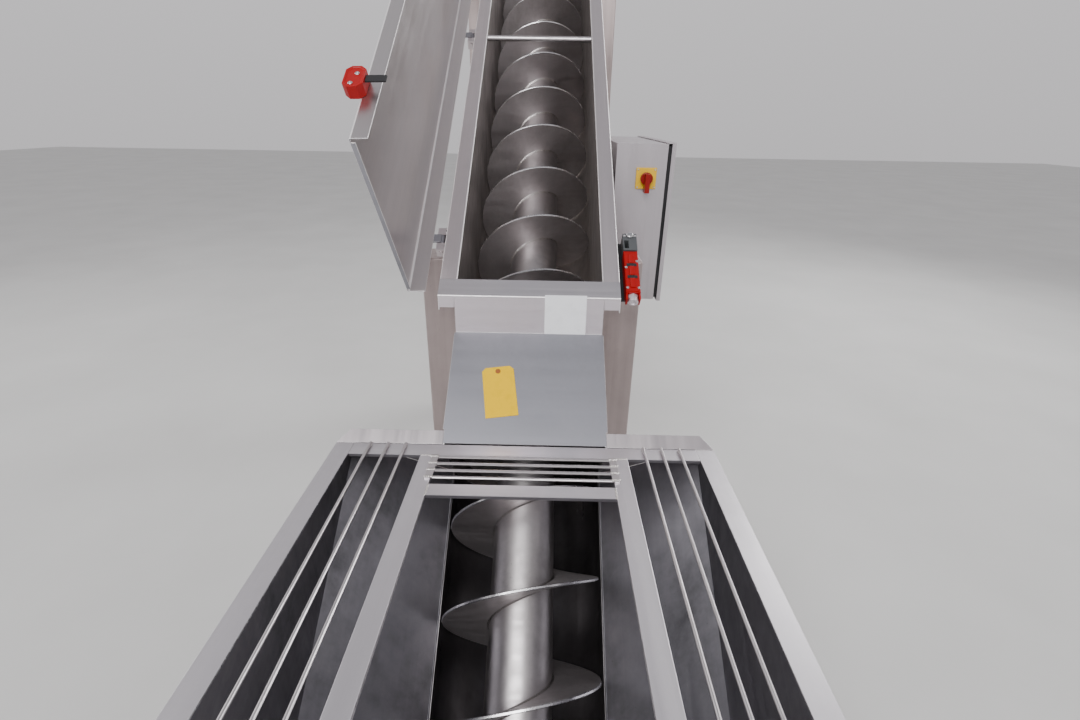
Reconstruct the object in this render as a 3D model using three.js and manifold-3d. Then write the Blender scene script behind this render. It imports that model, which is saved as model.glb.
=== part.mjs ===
// Inclined screw conveyor of brushed stainless steel: a level infeed hopper with a bar
// grille, a U trough rising at 36 degrees with an open flanged top and a hinged cover, a
// right-hand screw, a control cabinet on the right side, columns and legs, and a gearmotor
// and discharge spout at the upper end. Millimetres, +Z up. The origin is on the floor,
// under the middle of the front base bar, and +Y runs uphill.

import * as THREE from 'three';
import { mergeVertices } from 'three/addons/utils/BufferGeometryUtils.js';
import Module from 'manifold-3d';

const wasm = await Module();
wasm.setup();

// Incline and screw
const inclineAngle = THREE.MathUtils.degToRad(36);
const lowEndY = -968.3;
const lowEndZ = 208.1;
const screwPitch = 200;
const screwRadius = 172.5;
const tubeRadius = 70;
const flightThickness = 6;
const flightStart = 14;
const flightEnd = 3236;
const firstCrest = 32;
const stepsPerTurn = 24;
const shaftRadius = 25;
const shaftHoleRadius = 31;

// Trough: sheet thickness, inner radius and stations along the incline
const sheet = 3;
const seat = 0.3;
const arcSegments = 20;
const troughInner = 178;
const troughOuter = troughInner + sheet;
const troughEnd = 3276;
const apronLevel = 183;
const apronStart = 729;
const apronEdge = 16;
const flangeLevel = 262;
const flangeFront = 1076;
const flangeHalfWidth = 221;
const flangeLip = 30;
const frontBarWidth = 50;
const farBarWidth = 40;
const tieBarStation = 2179;
const tieBarRadius = 9;

// Hopper: a level rim over a prism that follows the incline
const rimZ = 785;
const rimInner = 377;
const rimWidth = 39.5;
const rimLip = 25;
const seamLevel = 1;
const foldLevel = 186;
const wingStation = 726;
const rimNearY = -1417;
const rimFarY = -491;
const rearLipLength = 33;
const rearLipFarHalf = 390;

// Grille over the hopper
const farBarY = [-532, rimFarY];
const barWidth = 37;
const barDepth = 8;
const innerBarX = 203;
const crossBarY = [-664.5, -630];
const rodRadius = 3.5;
const longRodX = [260.5, 299.5, 338.5];
const crossRodY = [-610, -586.5, -563, -539.5];
const rodEndGap = 4;
const keeperWidth = 12;
const beadWidth = 14;
const beadMargin = 6;

// Cover and its hinges
const hingeX = -240.5;
const hingeLevel = 212;
const openAngle = THREE.MathUtils.degToRad(91.5);
const coverSheet = 2;
const coverHalfWidth = 225;
const coverLevel = 275;
const hingeSkirt = 45;
const freeSkirt = 35;
const coverHem = 8;
const hemInset = 10;
const coverStart = 1112;
const coverEnd = 3270;
const hingeStations = [1290, 2240, 3150];
const pinRadius = 6;
const barrelRadius = 12;
const leafThickness = 5;
const leafHeight = 42;
const lugThickness = 24;
const lugBelow = 16;
const knuckleLength = 26;

// Interlock switch and its actuator
const actuatorStation = 1254;
const actuatorHalfLength = 32;
const actuatorWidth = 26;
const actuatorLevel = [265.5, 305];
const tongueOffset = 18;
const tongueThickness = 4;
const tongueHalfLength = 9;
const tongueBottom = 225.5;
const slotHalfWidth = 5.5;
const slotHalfLength = 13;
const slotDepth = 38;
const switchX = [236.5, 272.5];
const switchBodyStation = [1104, 1235];
const switchHeadEnd = 1290;
const switchBottom = 217;
const switchBodyTop = 254;
const switchHeadTop = 256;
const boltStation = 1281;
const boltRadius = 8;
const boltHeight = 5;
const glandRadius = 11;
const glandLength = 20;
const bracketThickness = 6;

// Control cabinet
const cabinetX = [240, 390];
const cabinetY = [200, 800];
const cabinetZ = [910, 1381];
const cabinetWall = 4;
const doorGap = 10;
const doorDepth = 12;
const doorOverlap = 4;
const doorPinRadius = 5;
const doorPinOffset = 12;
const hingeInset = 90;
const doorLugRadius = 8;
const doorLugHeight = 14;
const doorLugReach = 40;
const standoffs = [[280, 1170], [440, 1270]];
const standoffSide = 40;
const isolatorX = 331;
const isolatorZ = 1285;
const isolatorSide = 60;
const knobRadius = 18;
const gripWidth = 14;
const gripZ = [1246, 1300];

// Columns and legs
const columnOuter = 300;
const columnDepth = 120;
const frontColumnTop = 1095;
const rearColumnY = 1150;
const rearColumnTop = 1900;
const baseBarSize = 60;
const crossBarSize = 20;
const crossBarZ = 555;
const hopperLegY = -1280;
const hopperLegSize = 35;
const legTieSize = 30;
const legTieZ = 115;

// Discharge spout and drive
const spoutX = 130;
const spoutY = [1530, 1715];
const spoutBottom = 1430;
const spoutHoleTop = 2060;
const spoutTopLevel = -70;
const spoutFlange = 25;
const spoutFlangeThickness = 5;
const endPlateHalf = 205;
const endPlateThickness = 8;
const bearingRadius = 48;
const bearingDepth = 34;
const bearingFoot = [65, 14];
const gearboxRadius = 95;
const gearboxLength = 130;
const gearboxFoot = [100, 18];
const terminalBoxLevel = [40, 112];
const terminalBoxHalf = 48;
const terminalBoxStart = 30;
const terminalBoxLength = 100;
const motorRadius = 76;
const fanCoverRadius = 80;
const fanCoverLength = 50;
const motorEnd = 3640;
const shaftStubLow = 40;
const shaftStubHigh = 60;
const tubeInset = 8;

// A size beyond every edge, for the blocks that cut
const beyond = 3000;

// Colours
const steelGrey = 0xa9a8ad;
const steelLight = 0xc2bfc4;
const steelDark = 0x8d8b8c;
const polished = 0xd0cfd4;
const safetyRed = 0xc8221c;
const plasticGrey = 0x5d6063;
const plasticYellow = 0xe2b91f;
const gearGrey = 0x6f767d;

const X = new THREE.Vector3(1, 0, 0);
const Y = new THREE.Vector3(0, 1, 0);
const Z = new THREE.Vector3(0, 0, 1);

const conveyor = new THREE.Group();
const incline = new THREE.Group();
incline.rotation.x = inclineAngle;
incline.position.set(0, lowEndY, lowEndZ);
incline.updateMatrix();
conveyor.add(incline);
const worldToIncline = incline.matrix.clone().invert();

function steel(color, roughness = 0.38) {
  return new THREE.MeshStandardMaterial({ color, roughness, metalness: 1 });
}

function plastic(color, roughness = 0.45) {
  return new THREE.MeshStandardMaterial({ color, roughness, metalness: 0 });
}

function addPiece(parent, name, geometry, material) {
  const mesh = new THREE.Mesh(geometry, material);
  mesh.name = name;
  parent.add(mesh);
  return mesh;
}

// A box from its limits along x, y and z.
function box(xs, ys, zs) {
  const geometry = new THREE.BoxGeometry(xs[1] - xs[0], ys[1] - ys[0], zs[1] - zs[0]);
  geometry.translate((xs[0] + xs[1]) / 2, (ys[0] + ys[1]) / 2, (zs[0] + zs[1]) / 2);
  return geometry;
}

// A round bar along y, from its centre in x and z and its ends.
function rodAlongY(x, z, ys, radius, segments = 12) {
  const geometry = new THREE.CylinderGeometry(radius, radius, ys[1] - ys[0], segments);
  geometry.translate(x, (ys[0] + ys[1]) / 2, z);
  return geometry;
}

function rodAlongX(y, z, xs, radius, segments = 12) {
  const geometry = new THREE.CylinderGeometry(radius, radius, xs[1] - xs[0], segments);
  geometry.rotateZ(-Math.PI / 2);
  geometry.translate((xs[0] + xs[1]) / 2, y, z);
  return geometry;
}

function rodAlongZ(x, y, zs, radius, segments = 16) {
  const geometry = new THREE.CylinderGeometry(radius, radius, zs[1] - zs[0], segments);
  geometry.rotateX(Math.PI / 2);
  geometry.translate(x, y, (zs[0] + zs[1]) / 2);
  return geometry;
}

function extrude(shape, depth, curveSegments = 12) {
  return new THREE.ExtrudeGeometry(shape, { depth, bevelEnabled: false, curveSegments });
}

// A section drawn in x and z, carried along y.
function extrudeAlongY(shape, ys, curveSegments) {
  const geometry = extrude(shape, ys[1] - ys[0], curveSegments);
  geometry.rotateX(Math.PI / 2);
  geometry.translate(0, ys[1], 0);
  return geometry;
}

// An outline drawn in y and z, carried along x.
function extrudeAlongX(shape, xs) {
  const geometry = extrude(shape, xs[1] - xs[0]);
  geometry.applyMatrix4(new THREE.Matrix4().makeBasis(Y, Z, X));
  geometry.translate(xs[0], 0, 0);
  return geometry;
}

// Radius of a hole that turns freely on a round of this radius.
function boreRadius(radius) {
  return radius + seat + 0.1;
}

function outline(points) {
  return new THREE.Shape(points.map(([a, b]) => new THREE.Vector2(a, b)));
}

function toSolid(geometry) {
  const bare = geometry.clone();
  bare.deleteAttribute('normal');
  bare.deleteAttribute('uv');
  const merged = mergeVertices(bare, 1e-4);
  return new wasm.Manifold(new wasm.Mesh({
    numProp: 3,
    vertProperties: new Float32Array(merged.attributes.position.array),
    triVerts: new Uint32Array(merged.index.array),
  }));
}

function toGeometry(solid) {
  const mesh = solid.getMesh();
  const geometry = new THREE.BufferGeometry();
  geometry.setAttribute('position', new THREE.BufferAttribute(mesh.vertProperties, 3));
  geometry.setIndex(new THREE.BufferAttribute(mesh.triVerts, 1));
  geometry.computeVertexNormals();
  return geometry;
}

// One geometry from several that are joined, less those that are cut away.
function combine(joined, cutAway = []) {
  let solid = toSolid(joined[0]);
  for (const geometry of joined.slice(1)) {
    solid = solid.add(toSolid(geometry));
  }
  for (const geometry of cutAway) {
    solid = solid.subtract(toSolid(geometry));
  }
  return toGeometry(solid);
}

function mirrored(geometry) {
  const indexed = geometry.index ? geometry.clone() : mergeVertices(geometry);
  indexed.scale(-1, 1, 1);
  const index = indexed.index.array;
  for (let i = 0; i < index.length; i += 3) {
    [index[i], index[i + 1]] = [index[i + 1], index[i]];
  }
  indexed.computeVertexNormals();
  return indexed;
}

// Everything above the rim's underside, as a block in the incline's frame.
function aboveRim() {
  const block = box([-beyond, beyond], [-beyond, beyond], [rimZ - sheet - seat, rimZ + beyond]);
  block.applyMatrix4(worldToIncline);
  return block;
}

// Trough: half pipe in the hopper, then a U with straight walls
function troughSection(wallTop) {
  const shape = new THREE.Shape();
  shape.moveTo(troughOuter, wallTop);
  shape.lineTo(troughOuter, 0);
  shape.absarc(0, 0, troughOuter, 0, Math.PI, true);
  shape.lineTo(-troughOuter, wallTop);
  shape.lineTo(-troughInner, wallTop);
  shape.lineTo(-troughInner, 0);
  shape.absarc(0, 0, troughInner, Math.PI, 0, false);
  shape.lineTo(troughInner, wallTop);
  return shape;
}

// The front lip and the plate under it hang plumb. Their faces lie at a depth behind the
// flange's front edge, and cross a level of the incline's frame at this station.
const plumbS = Math.sin(inclineAngle);
const plumbV = Math.cos(inclineAngle);
function plumbStation(level, depth) {
  return flangeFront + (level - flangeLevel) * plumbS / plumbV + depth / plumbV;
}

function makeTrough() {
  const wallTop = flangeLevel - sheet - seat;
  const lower = extrudeAlongY(troughSection(seamLevel), [0, wingStation], arcSegments);
  addPiece(incline, 'trough_bottom_in_hopper', lower, steel(steelDark));

  const upper = extrudeAlongY(troughSection(wallTop), [wingStation + seat, troughEnd], arcSegments);
  const behindPlate = sheet + seat;
  const overApron = extrudeAlongX(outline([
    [0, apronLevel],
    [plumbStation(apronLevel, behindPlate), apronLevel],
    [plumbStation(flangeLevel, behindPlate), flangeLevel],
    [0, flangeLevel],
  ]), [-beyond, beyond]);
  const spoutHole = box([-spoutX, spoutX], spoutY, [spoutBottom, spoutHoleTop]);
  spoutHole.applyMatrix4(worldToIncline);
  addPiece(incline, 'trough', combine([upper], [overApron, spoutHole]), steel(steelDark));
}

// Top flange frame: side bars with down-turned lips, a front bar and a far bar
function makeFlange() {
  const top = [flangeLevel - sheet, flangeLevel];
  const lip = [flangeLevel - flangeLip, flangeLevel];
  const sideStart = flangeFront + frontBarWidth + seat;
  const sideBar = combine([
    box([troughInner, flangeHalfWidth], [sideStart, troughEnd], top),
    box([flangeHalfWidth - sheet, flangeHalfWidth], [sideStart, troughEnd], lip),
  ]);
  addPiece(incline, 'flange_right', sideBar, steel(steelLight));
  addPiece(incline, 'flange_left', mirrored(sideBar), steel(steelLight));

  const frontEnd = flangeFront + frontBarWidth;
  const lipLevel = flangeLevel - flangeLip * plumbV;
  const topSheet = extrudeAlongX(outline([
    [flangeFront, flangeLevel],
    [frontEnd, flangeLevel],
    [frontEnd, top[0]],
    [plumbStation(top[0], 0), top[0]],
  ]), [-flangeHalfWidth, flangeHalfWidth]);
  const frontLip = extrudeAlongX(outline([
    [flangeFront, flangeLevel],
    [plumbStation(flangeLevel, sheet), flangeLevel],
    [plumbStation(lipLevel, sheet), lipLevel],
    [plumbStation(lipLevel, 0), lipLevel],
  ]), [troughOuter + seat, flangeHalfWidth]);
  const sideLip = extrudeAlongX(outline([
    [flangeFront, flangeLevel],
    [frontEnd, flangeLevel],
    [frontEnd, lip[0]],
    [plumbStation(lip[0], 0), lip[0]],
  ]), [flangeHalfWidth - sheet, flangeHalfWidth]);
  const frontBar = combine([
    topSheet,
    frontLip,
    sideLip,
    mirrored(frontLip),
    mirrored(sideLip),
  ]);
  addPiece(incline, 'flange_front', frontBar, steel(steelLight));

  const farHalf = troughInner - seat;
  const farBar = box([-farHalf, farHalf], [troughEnd - farBarWidth, troughEnd], top);
  addPiece(incline, 'flange_far', farBar, steel(steelLight));

  const tieHalf = troughInner - seat;
  const tieLevel = flangeLevel - sheet - tieBarRadius;
  const tieBar = rodAlongX(tieBarStation, tieLevel, [-tieHalf, tieHalf], tieBarRadius);
  addPiece(incline, 'tie_bar', tieBar, steel(polished, 0.25));
}

// Apron: a folded sheet, plumb and flush with the front lip, then down the incline
function makeApron() {
  const plateTop = flangeLevel - sheet - seat;
  const low = apronLevel + seat;
  const high = low + sheet;
  const bend = plumbStation(high, 0);
  const folded = extrudeAlongX(outline([
    [apronStart, low],
    [plumbStation(low, sheet), low],
    [plumbStation(plateTop, sheet), plateTop],
    [plumbStation(plateTop, 0), plateTop],
    [bend, high],
    [apronStart, high],
  ]), [-troughOuter, troughOuter]);
  const edgeStations = [wingStation + rearLipLength + sheet, bend - sheet];
  const edge = box(
    [troughOuter + seat, troughOuter + seat + sheet],
    edgeStations,
    [apronLevel - apronEdge, high],
  );
  const edgeTop = box(
    [troughInner, troughOuter + seat + sheet],
    edgeStations,
    [low, high],
  );
  const sheetMetal = combine([folded, edge, edgeTop, mirrored(edge), mirrored(edgeTop)]);
  addPiece(incline, 'apron', sheetMetal, steel(steelGrey, 0.42));
}

// Hopper walls: each side is one folded sheet, cut off level under the rim
function makeHopper() {
  const slopeRun = rimInner - troughOuter;
  const seam = seamLevel + seat;
  const slopeAngle = Math.atan2(foldLevel - seam, slopeRun);
  const outerFold = foldLevel - sheet * Math.tan((Math.PI / 2 - slopeAngle) / 2);
  const section = outline([
    [troughOuter, seam],
    [rimInner, foldLevel],
    [rimInner, beyond],
    [rimInner + sheet, beyond],
    [rimInner + sheet, outerFold],
    [troughOuter + sheet * Math.sin(slopeAngle), seam - sheet * Math.cos(slopeAngle)],
  ]);
  const barNotch = box(
    [0, rimInner],
    [farBarY[0] - seat, farBarY[1] + seat],
    [rimZ - barDepth - seat, rimZ + seat],
  );
  barNotch.applyMatrix4(worldToIncline);
  const folded = extrudeAlongY(section, [0, wingStation - seat]);
  const side = combine([folded], [aboveRim(), barNotch]);
  addPiece(incline, 'hopper_right_wall', side, steel(steelGrey));
  addPiece(incline, 'hopper_left_wall', mirrored(side), steel(steelGrey));

  const endShape = new THREE.Shape();
  const endHalf = rimInner + sheet;
  endShape.moveTo(endHalf, beyond);
  endShape.lineTo(endHalf, outerFold);
  endShape.absarc(0, 0, troughOuter, 0, Math.PI, true);
  endShape.lineTo(-endHalf, outerFold);
  endShape.lineTo(-endHalf, beyond);
  const endPlate = extrudeAlongY(endShape, [-seat - sheet, -seat], arcSegments);
  const shaftHole = rodAlongY(0, 0, [-shaftStubLow, shaftStubLow], shaftHoleRadius, 24);
  const cutPlate = combine([endPlate], [aboveRim(), shaftHole]);
  addPiece(incline, 'hopper_end_plate', cutPlate, steel(steelGrey));

  const rimLevel = (rimZ - lowEndZ - wingStation * Math.sin(inclineAngle))
    / Math.cos(inclineAngle);
  const wingInner = troughOuter + seat;
  const wingOuter = wingInner + slopeRun * (rimLevel - seam) / (foldLevel - seam);
  const wingShape = outline([
    [wingInner, seam],
    [wingOuter, rimLevel - sheet],
    [wingOuter, rimLevel],
    [wingInner, rimLevel],
  ]);
  const wing = extrudeAlongY(wingShape, [wingStation + seat, wingStation + seat + sheet]);
  const lipShape = outline([
    [wingInner, wingStation + seat],
    [rimInner + rimWidth, wingStation + seat],
    [rearLipFarHalf, wingStation + rearLipLength],
    [wingInner, wingStation + rearLipLength],
  ]);
  const lip = extrude(lipShape, sheet);
  lip.translate(0, 0, rimLevel - sheet);
  const rearWing = combine([wing, lip]);
  addPiece(incline, 'hopper_right_wing', rearWing, steel(steelLight));
  addPiece(incline, 'hopper_left_wing', mirrored(rearWing), steel(steelLight));
}

// Level rim of the hopper, folded sheet with an outer lip
function makeRim() {
  const tall = [rimZ - rimLip, rimZ];
  const under = [rimZ - rimLip - sheet, rimZ - sheet];
  const rimOuter = rimInner + rimWidth;
  const nearEnd = rimNearY + rimWidth;
  const sideStart = nearEnd + seat;
  const side = combine(
    [box([rimInner, rimOuter], [sideStart, rimFarY], tall)],
    [box([rimInner - sheet, rimOuter - sheet], [sideStart - sheet, rimFarY + sheet], under)],
  );
  addPiece(conveyor, 'rim_right', side, steel(steelLight));
  addPiece(conveyor, 'rim_left', mirrored(side), steel(steelLight));
  const near = combine(
    [box([-rimOuter, rimOuter], [rimNearY, nearEnd], tall)],
    [box([sheet - rimOuter, rimOuter - sheet], [rimNearY + sheet, nearEnd + sheet], under)],
  );
  addPiece(conveyor, 'rim_near', near, steel(steelLight));
}

// Grille: flat bars level with the rim, long rods over the side bays, short cross rods
function makeGrille() {
  const level = [rimZ - barDepth, rimZ];
  const farHalf = rimInner - seat;
  const farBar = box([-farHalf, farHalf], farBarY, level);
  addPiece(conveyor, 'grille_far_bar', farBar, steel(steelLight));

  const barX = [innerBarX - barWidth / 2, innerBarX + barWidth / 2];
  const longBar = box(barX, [rimNearY + rimWidth + seat, farBarY[0] - seat], level);
  addPiece(conveyor, 'grille_right_bar', longBar, steel(steelLight));
  addPiece(conveyor, 'grille_left_bar', mirrored(longBar), steel(steelLight));

  const crossHalf = barX[0] - seat;
  const crossBar = box([-crossHalf, crossHalf], crossBarY, level);
  addPiece(conveyor, 'grille_cross_bar', crossBar, steel(steelLight));

  const rodLevel = rimZ + seat + rodRadius;
  const rodEnds = [rimNearY + keeperWidth, farBarY[1] - rodEndGap];
  const rods = longRodX.map((x) => rodAlongY(x, rodLevel, rodEnds, rodRadius, 8));
  const keeper = box(
    [longRodX[0] - keeperWidth, longRodX[2] + keeperWidth],
    [rimNearY + 8, rimNearY + 8 + keeperWidth],
    [rimZ + seat, rimZ + seat + rodRadius],
  );
  const bayRods = combine([...rods, keeper]);
  addPiece(conveyor, 'grille_right_rods', bayRods, steel(polished, 0.3));
  addPiece(conveyor, 'grille_left_rods', mirrored(bayRods), steel(polished, 0.3));

  const shortRods = crossRodY.map(
    (y) => rodAlongX(y, rimZ, [-crossHalf, crossHalf], rodRadius, 8),
  );
  const bead = box(
    [crossHalf - sheet, crossHalf - sheet + beadWidth],
    [crossRodY[0] - beadMargin, crossRodY[3] + beadMargin],
    [rimZ + seat, rimZ + rodRadius],
  );
  const crossRods = combine([...shortRods, bead, mirrored(bead)]);
  addPiece(conveyor, 'grille_cross_rods', crossRods, steel(polished, 0.3));
}

// Screw: a tube with shaft ends, and one right-hand flight as a closed ribbon
function makeScrew() {
  const screw = new THREE.Group();
  incline.add(screw);
  const profile = [
    [0, -shaftStubLow],
    [shaftRadius, -shaftStubLow],
    [shaftRadius, tubeInset],
    [tubeRadius, tubeInset],
    [tubeRadius, troughEnd - tubeInset],
    [shaftRadius, troughEnd - tubeInset],
    [shaftRadius, troughEnd + shaftStubHigh],
    [0, troughEnd + shaftStubHigh],
  ].map(([radius, s]) => new THREE.Vector2(radius, s));
  const tube = new THREE.LatheGeometry(profile, 48);
  addPiece(screw, 'screw_tube', tube, steel(polished, 0.22));

  const turns = (flightEnd - flightStart) / screwPitch;
  const steps = Math.round(turns * stepsPerTurn);
  const innerRadius = (tubeRadius + seat) / Math.cos(Math.PI / stepsPerTurn);
  const positions = [];
  for (let i = 0; i <= steps; i += 1) {
    const s = flightStart + (flightEnd - flightStart) * i / steps;
    const turn = 2 * Math.PI * (s - firstCrest) / screwPitch;
    for (const [radius, side] of [[innerRadius, -1], [screwRadius, -1],
      [screwRadius, 1], [innerRadius, 1]]) {
      positions.push(
        radius * Math.sin(turn),
        s + side * flightThickness / 2,
        radius * Math.cos(turn),
      );
    }
  }
  const index = [];
  for (let i = 0; i < steps; i += 1) {
    for (let corner = 0; corner < 4; corner += 1) {
      const a = 4 * i + corner;
      const b = 4 * i + (corner + 1) % 4;
      index.push(a, a + 4, b, b, a + 4, b + 4);
    }
  }
  const last = 4 * steps;
  index.push(0, 1, 2, 0, 2, 3);
  index.push(last, last + 2, last + 1, last, last + 3, last + 2);
  const flight = new THREE.BufferGeometry();
  flight.setAttribute('position', new THREE.Float32BufferAttribute(positions, 3));
  flight.setIndex(index);
  flight.computeVertexNormals();
  addPiece(screw, 'screw_flight', flight, steel(polished, 0.25));
}

// Lower bearing, upper end plate, gearbox and motor
function makeEnds() {
  const bore = rodAlongY(0, 0, [-beyond, beyond], boreRadius(shaftRadius), 24);
  const bearingEnd = -sheet - 2 * seat;
  const [footHalf, footDepth] = bearingFoot;
  const bearingBody = rodAlongY(0, 0, [-bearingDepth, bearingEnd], bearingRadius, 24);
  const foot = box([-footHalf, footHalf], [-footDepth, bearingEnd], [-footHalf, footHalf]);
  addPiece(incline, 'lower_bearing', combine([bearingBody, foot], [bore]), plastic(gearGrey));

  const endShape = new THREE.Shape();
  endShape.moveTo(endPlateHalf, flangeLevel);
  endShape.lineTo(endPlateHalf, 0);
  endShape.absarc(0, 0, endPlateHalf, 0, Math.PI, true);
  endShape.lineTo(-endPlateHalf, flangeLevel);
  const plateEnd = troughEnd + seat + endPlateThickness;
  const endPlate = extrudeAlongY(endShape, [troughEnd + seat, plateEnd], arcSegments);
  const endHole = rodAlongY(0, 0, [0, beyond * 2], shaftHoleRadius, 24);
  addPiece(incline, 'upper_end_plate', combine([endPlate], [endHole]), steel(steelGrey));

  const gearStart = plateEnd + seat;
  const gearEnd = gearStart + gearboxLength;
  const gearCase = rodAlongY(0, 0, [gearStart, gearEnd], gearboxRadius, 24);
  const [gearHalf, gearFootDepth] = gearboxFoot;
  const gearFoot = box([-gearHalf, gearHalf], [gearStart, gearStart + gearFootDepth],
    [-gearHalf, gearHalf]);
  const boreEnd = troughEnd + shaftStubHigh + 2 * sheet;
  const gearBore = rodAlongY(0, 0, [0, boreEnd], boreRadius(shaftRadius), 24);
  addPiece(incline, 'gearbox', combine([gearCase, gearFoot], [gearBore]), plastic(gearGrey));

  const motorStart = gearEnd + seat;
  const fanStart = motorEnd - fanCoverLength;
  const boxStart = motorStart + terminalBoxStart;
  const frame = rodAlongY(0, 0, [motorStart, fanStart + sheet], motorRadius, 24);
  const fanCover = rodAlongY(0, 0, [fanStart, motorEnd], fanCoverRadius, 24);
  const terminalBox = box([-terminalBoxHalf, terminalBoxHalf],
    [boxStart, boxStart + terminalBoxLength], terminalBoxLevel);
  addPiece(incline, 'motor', combine([frame, fanCover, terminalBox]), plastic(gearGrey));
}

// Discharge spout: a plumb duct under the upper end, fitted to the trough's underside
function makeSpout() {
  const outerX = spoutX + sheet;
  const outerY = [spoutY[0] - sheet, spoutY[1] + sheet];
  const duct = box([-outerX, outerX], outerY, [spoutBottom, beyond]);
  const collar = box(
    [-outerX - spoutFlange, outerX + spoutFlange],
    [outerY[0] - spoutFlange, outerY[1] + spoutFlange],
    [spoutBottom, spoutBottom + spoutFlangeThickness],
  );
  const hollow = box([-spoutX, spoutX], spoutY, [0, 2 * beyond]);
  const pipeRadius = (troughOuter + seat) / Math.cos(Math.PI / 48);
  const pipe = rodAlongY(0, 0, [0, 2 * beyond], pipeRadius, 48);
  pipe.applyMatrix4(incline.matrix);
  const above = box([-beyond, beyond], [0, 2 * beyond], [spoutTopLevel, beyond]);
  above.applyMatrix4(incline.matrix);
  const spout = combine([duct, collar], [hollow, pipe, above]);
  addPiece(conveyor, 'discharge_spout', spout, steel(steelGrey));
}

// Cover, drawn closed about its hinge axis and then turned open
function makeCover() {
  const hinge = new THREE.Group();
  hinge.position.set(hingeX, 0, hingeLevel);
  hinge.rotation.y = -openAngle;
  incline.add(hinge);

  const left = -coverHalfWidth - hingeX;
  const right = coverHalfWidth - hingeX;
  const under = coverLevel - hingeLevel;
  const top = under + coverSheet;
  const length = [coverStart, coverEnd];
  const hemX = [left + hemInset, right - hemInset];
  const tray = combine([
    box([left, right], length, [under, top]),
    box([left, left + coverSheet], length, [top - hingeSkirt, top]),
    box([right - coverSheet, right], length, [top - freeSkirt, top]),
    box(hemX, [coverStart, coverStart + coverSheet], [under - coverHem, top]),
    box(hemX, [coverEnd - coverSheet, coverEnd], [under - coverHem, top]),
  ]);
  addPiece(hinge, 'cover', tray, steel(steelGrey, 0.34));

  hingeStations.forEach((station, i) => {
    const half = knuckleLength / 2;
    const ends = [station - half, station + half];
    const barrel = rodAlongY(0, 0, ends, barrelRadius, 20);
    const leaf = box([left - seat - leafThickness, left - seat], ends, [0, leafHeight]);
    const bore = rodAlongY(0, 0, [0, 2 * beyond], boreRadius(pinRadius), 20);
    addPiece(hinge, `cover_knuckle_${i + 1}`, combine([barrel, leaf], [bore]), steel(steelLight));
  });

  const blockInner = right + seat;
  const block = box(
    [blockInner, blockInner + actuatorWidth],
    [actuatorStation - actuatorHalfLength, actuatorStation + actuatorHalfLength],
    [actuatorLevel[0] - hingeLevel, actuatorLevel[1] - hingeLevel],
  );
  addPiece(hinge, 'actuator_block', block, plastic(safetyRed));
  const tongueX = blockInner + tongueOffset;
  const tongue = box(
    [tongueX, tongueX + tongueThickness],
    [actuatorStation - tongueHalfLength, actuatorStation + tongueHalfLength],
    [tongueBottom - hingeLevel, actuatorLevel[0] - hingeLevel - seat],
  );
  addPiece(hinge, 'actuator_tongue', tongue, steel(plasticGrey));
}

// Fixed half of each hinge: two blocks on the trough wall, joined by the pin
function makeHingeBrackets() {
  const outer = -troughOuter - seat;
  const level = [hingeLevel - lugBelow, hingeLevel + barrelRadius];
  hingeStations.forEach((station, i) => {
    const gap = knuckleLength / 2 + 1;
    const pieces = [-1, 1].map((side) => {
      const a = station + side * gap;
      const b = station + side * (gap + lugThickness);
      return box([hingeX - barrelRadius, outer], [Math.min(a, b), Math.max(a, b)], level);
    });
    const reach = gap + lugThickness + 3;
    const pin = rodAlongY(hingeX, hingeLevel, [station - reach, station + reach], pinRadius);
    addPiece(incline, `hinge_bracket_${i + 1}`, combine([...pieces, pin]), steel(steelLight));
  });
}

// Interlock switch beside the right flange, with a slot for the cover's tongue
function makeSwitch() {
  const middleX = (switchX[0] + switchX[1]) / 2;
  const bracket = box(
    [troughOuter + seat, switchX[1]],
    [switchBodyStation[0], switchHeadEnd],
    [switchBottom - bracketThickness - seat, switchBottom - seat],
  );
  addPiece(incline, 'switch_bracket', bracket, steel(steelLight));

  const body = box(switchX, switchBodyStation, [switchBottom, switchBodyTop]);
  addPiece(incline, 'switch_body', body, plastic(safetyRed));

  const headStations = [switchBodyStation[1] + seat, switchHeadEnd];
  const headBlock = box(switchX, headStations, [switchBottom, switchHeadTop]);
  const boltLevel = [switchHeadTop - boltHeight, switchHeadTop + boltHeight];
  const bolt = rodAlongZ(middleX, boltStation, boltLevel, boltRadius, 12);
  const slotMiddle = coverHalfWidth + seat + tongueOffset + tongueThickness / 2;
  const slot = box(
    [slotMiddle - slotHalfWidth, slotMiddle + slotHalfWidth],
    [actuatorStation - slotHalfLength, actuatorStation + slotHalfLength],
    [switchHeadTop - slotDepth, beyond],
  );
  addPiece(incline, 'switch_head', combine([headBlock, bolt], [slot]), plastic(plasticGrey));

  const glandEnd = switchBodyStation[0] - seat;
  const glandLevel = (switchBottom + switchBodyTop) / 2;
  const gland = rodAlongY(
    middleX, glandLevel, [glandEnd - glandLength, glandEnd], glandRadius, 12,
  );
  addPiece(incline, 'switch_gland', gland, steel(steelLight));
}

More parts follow.
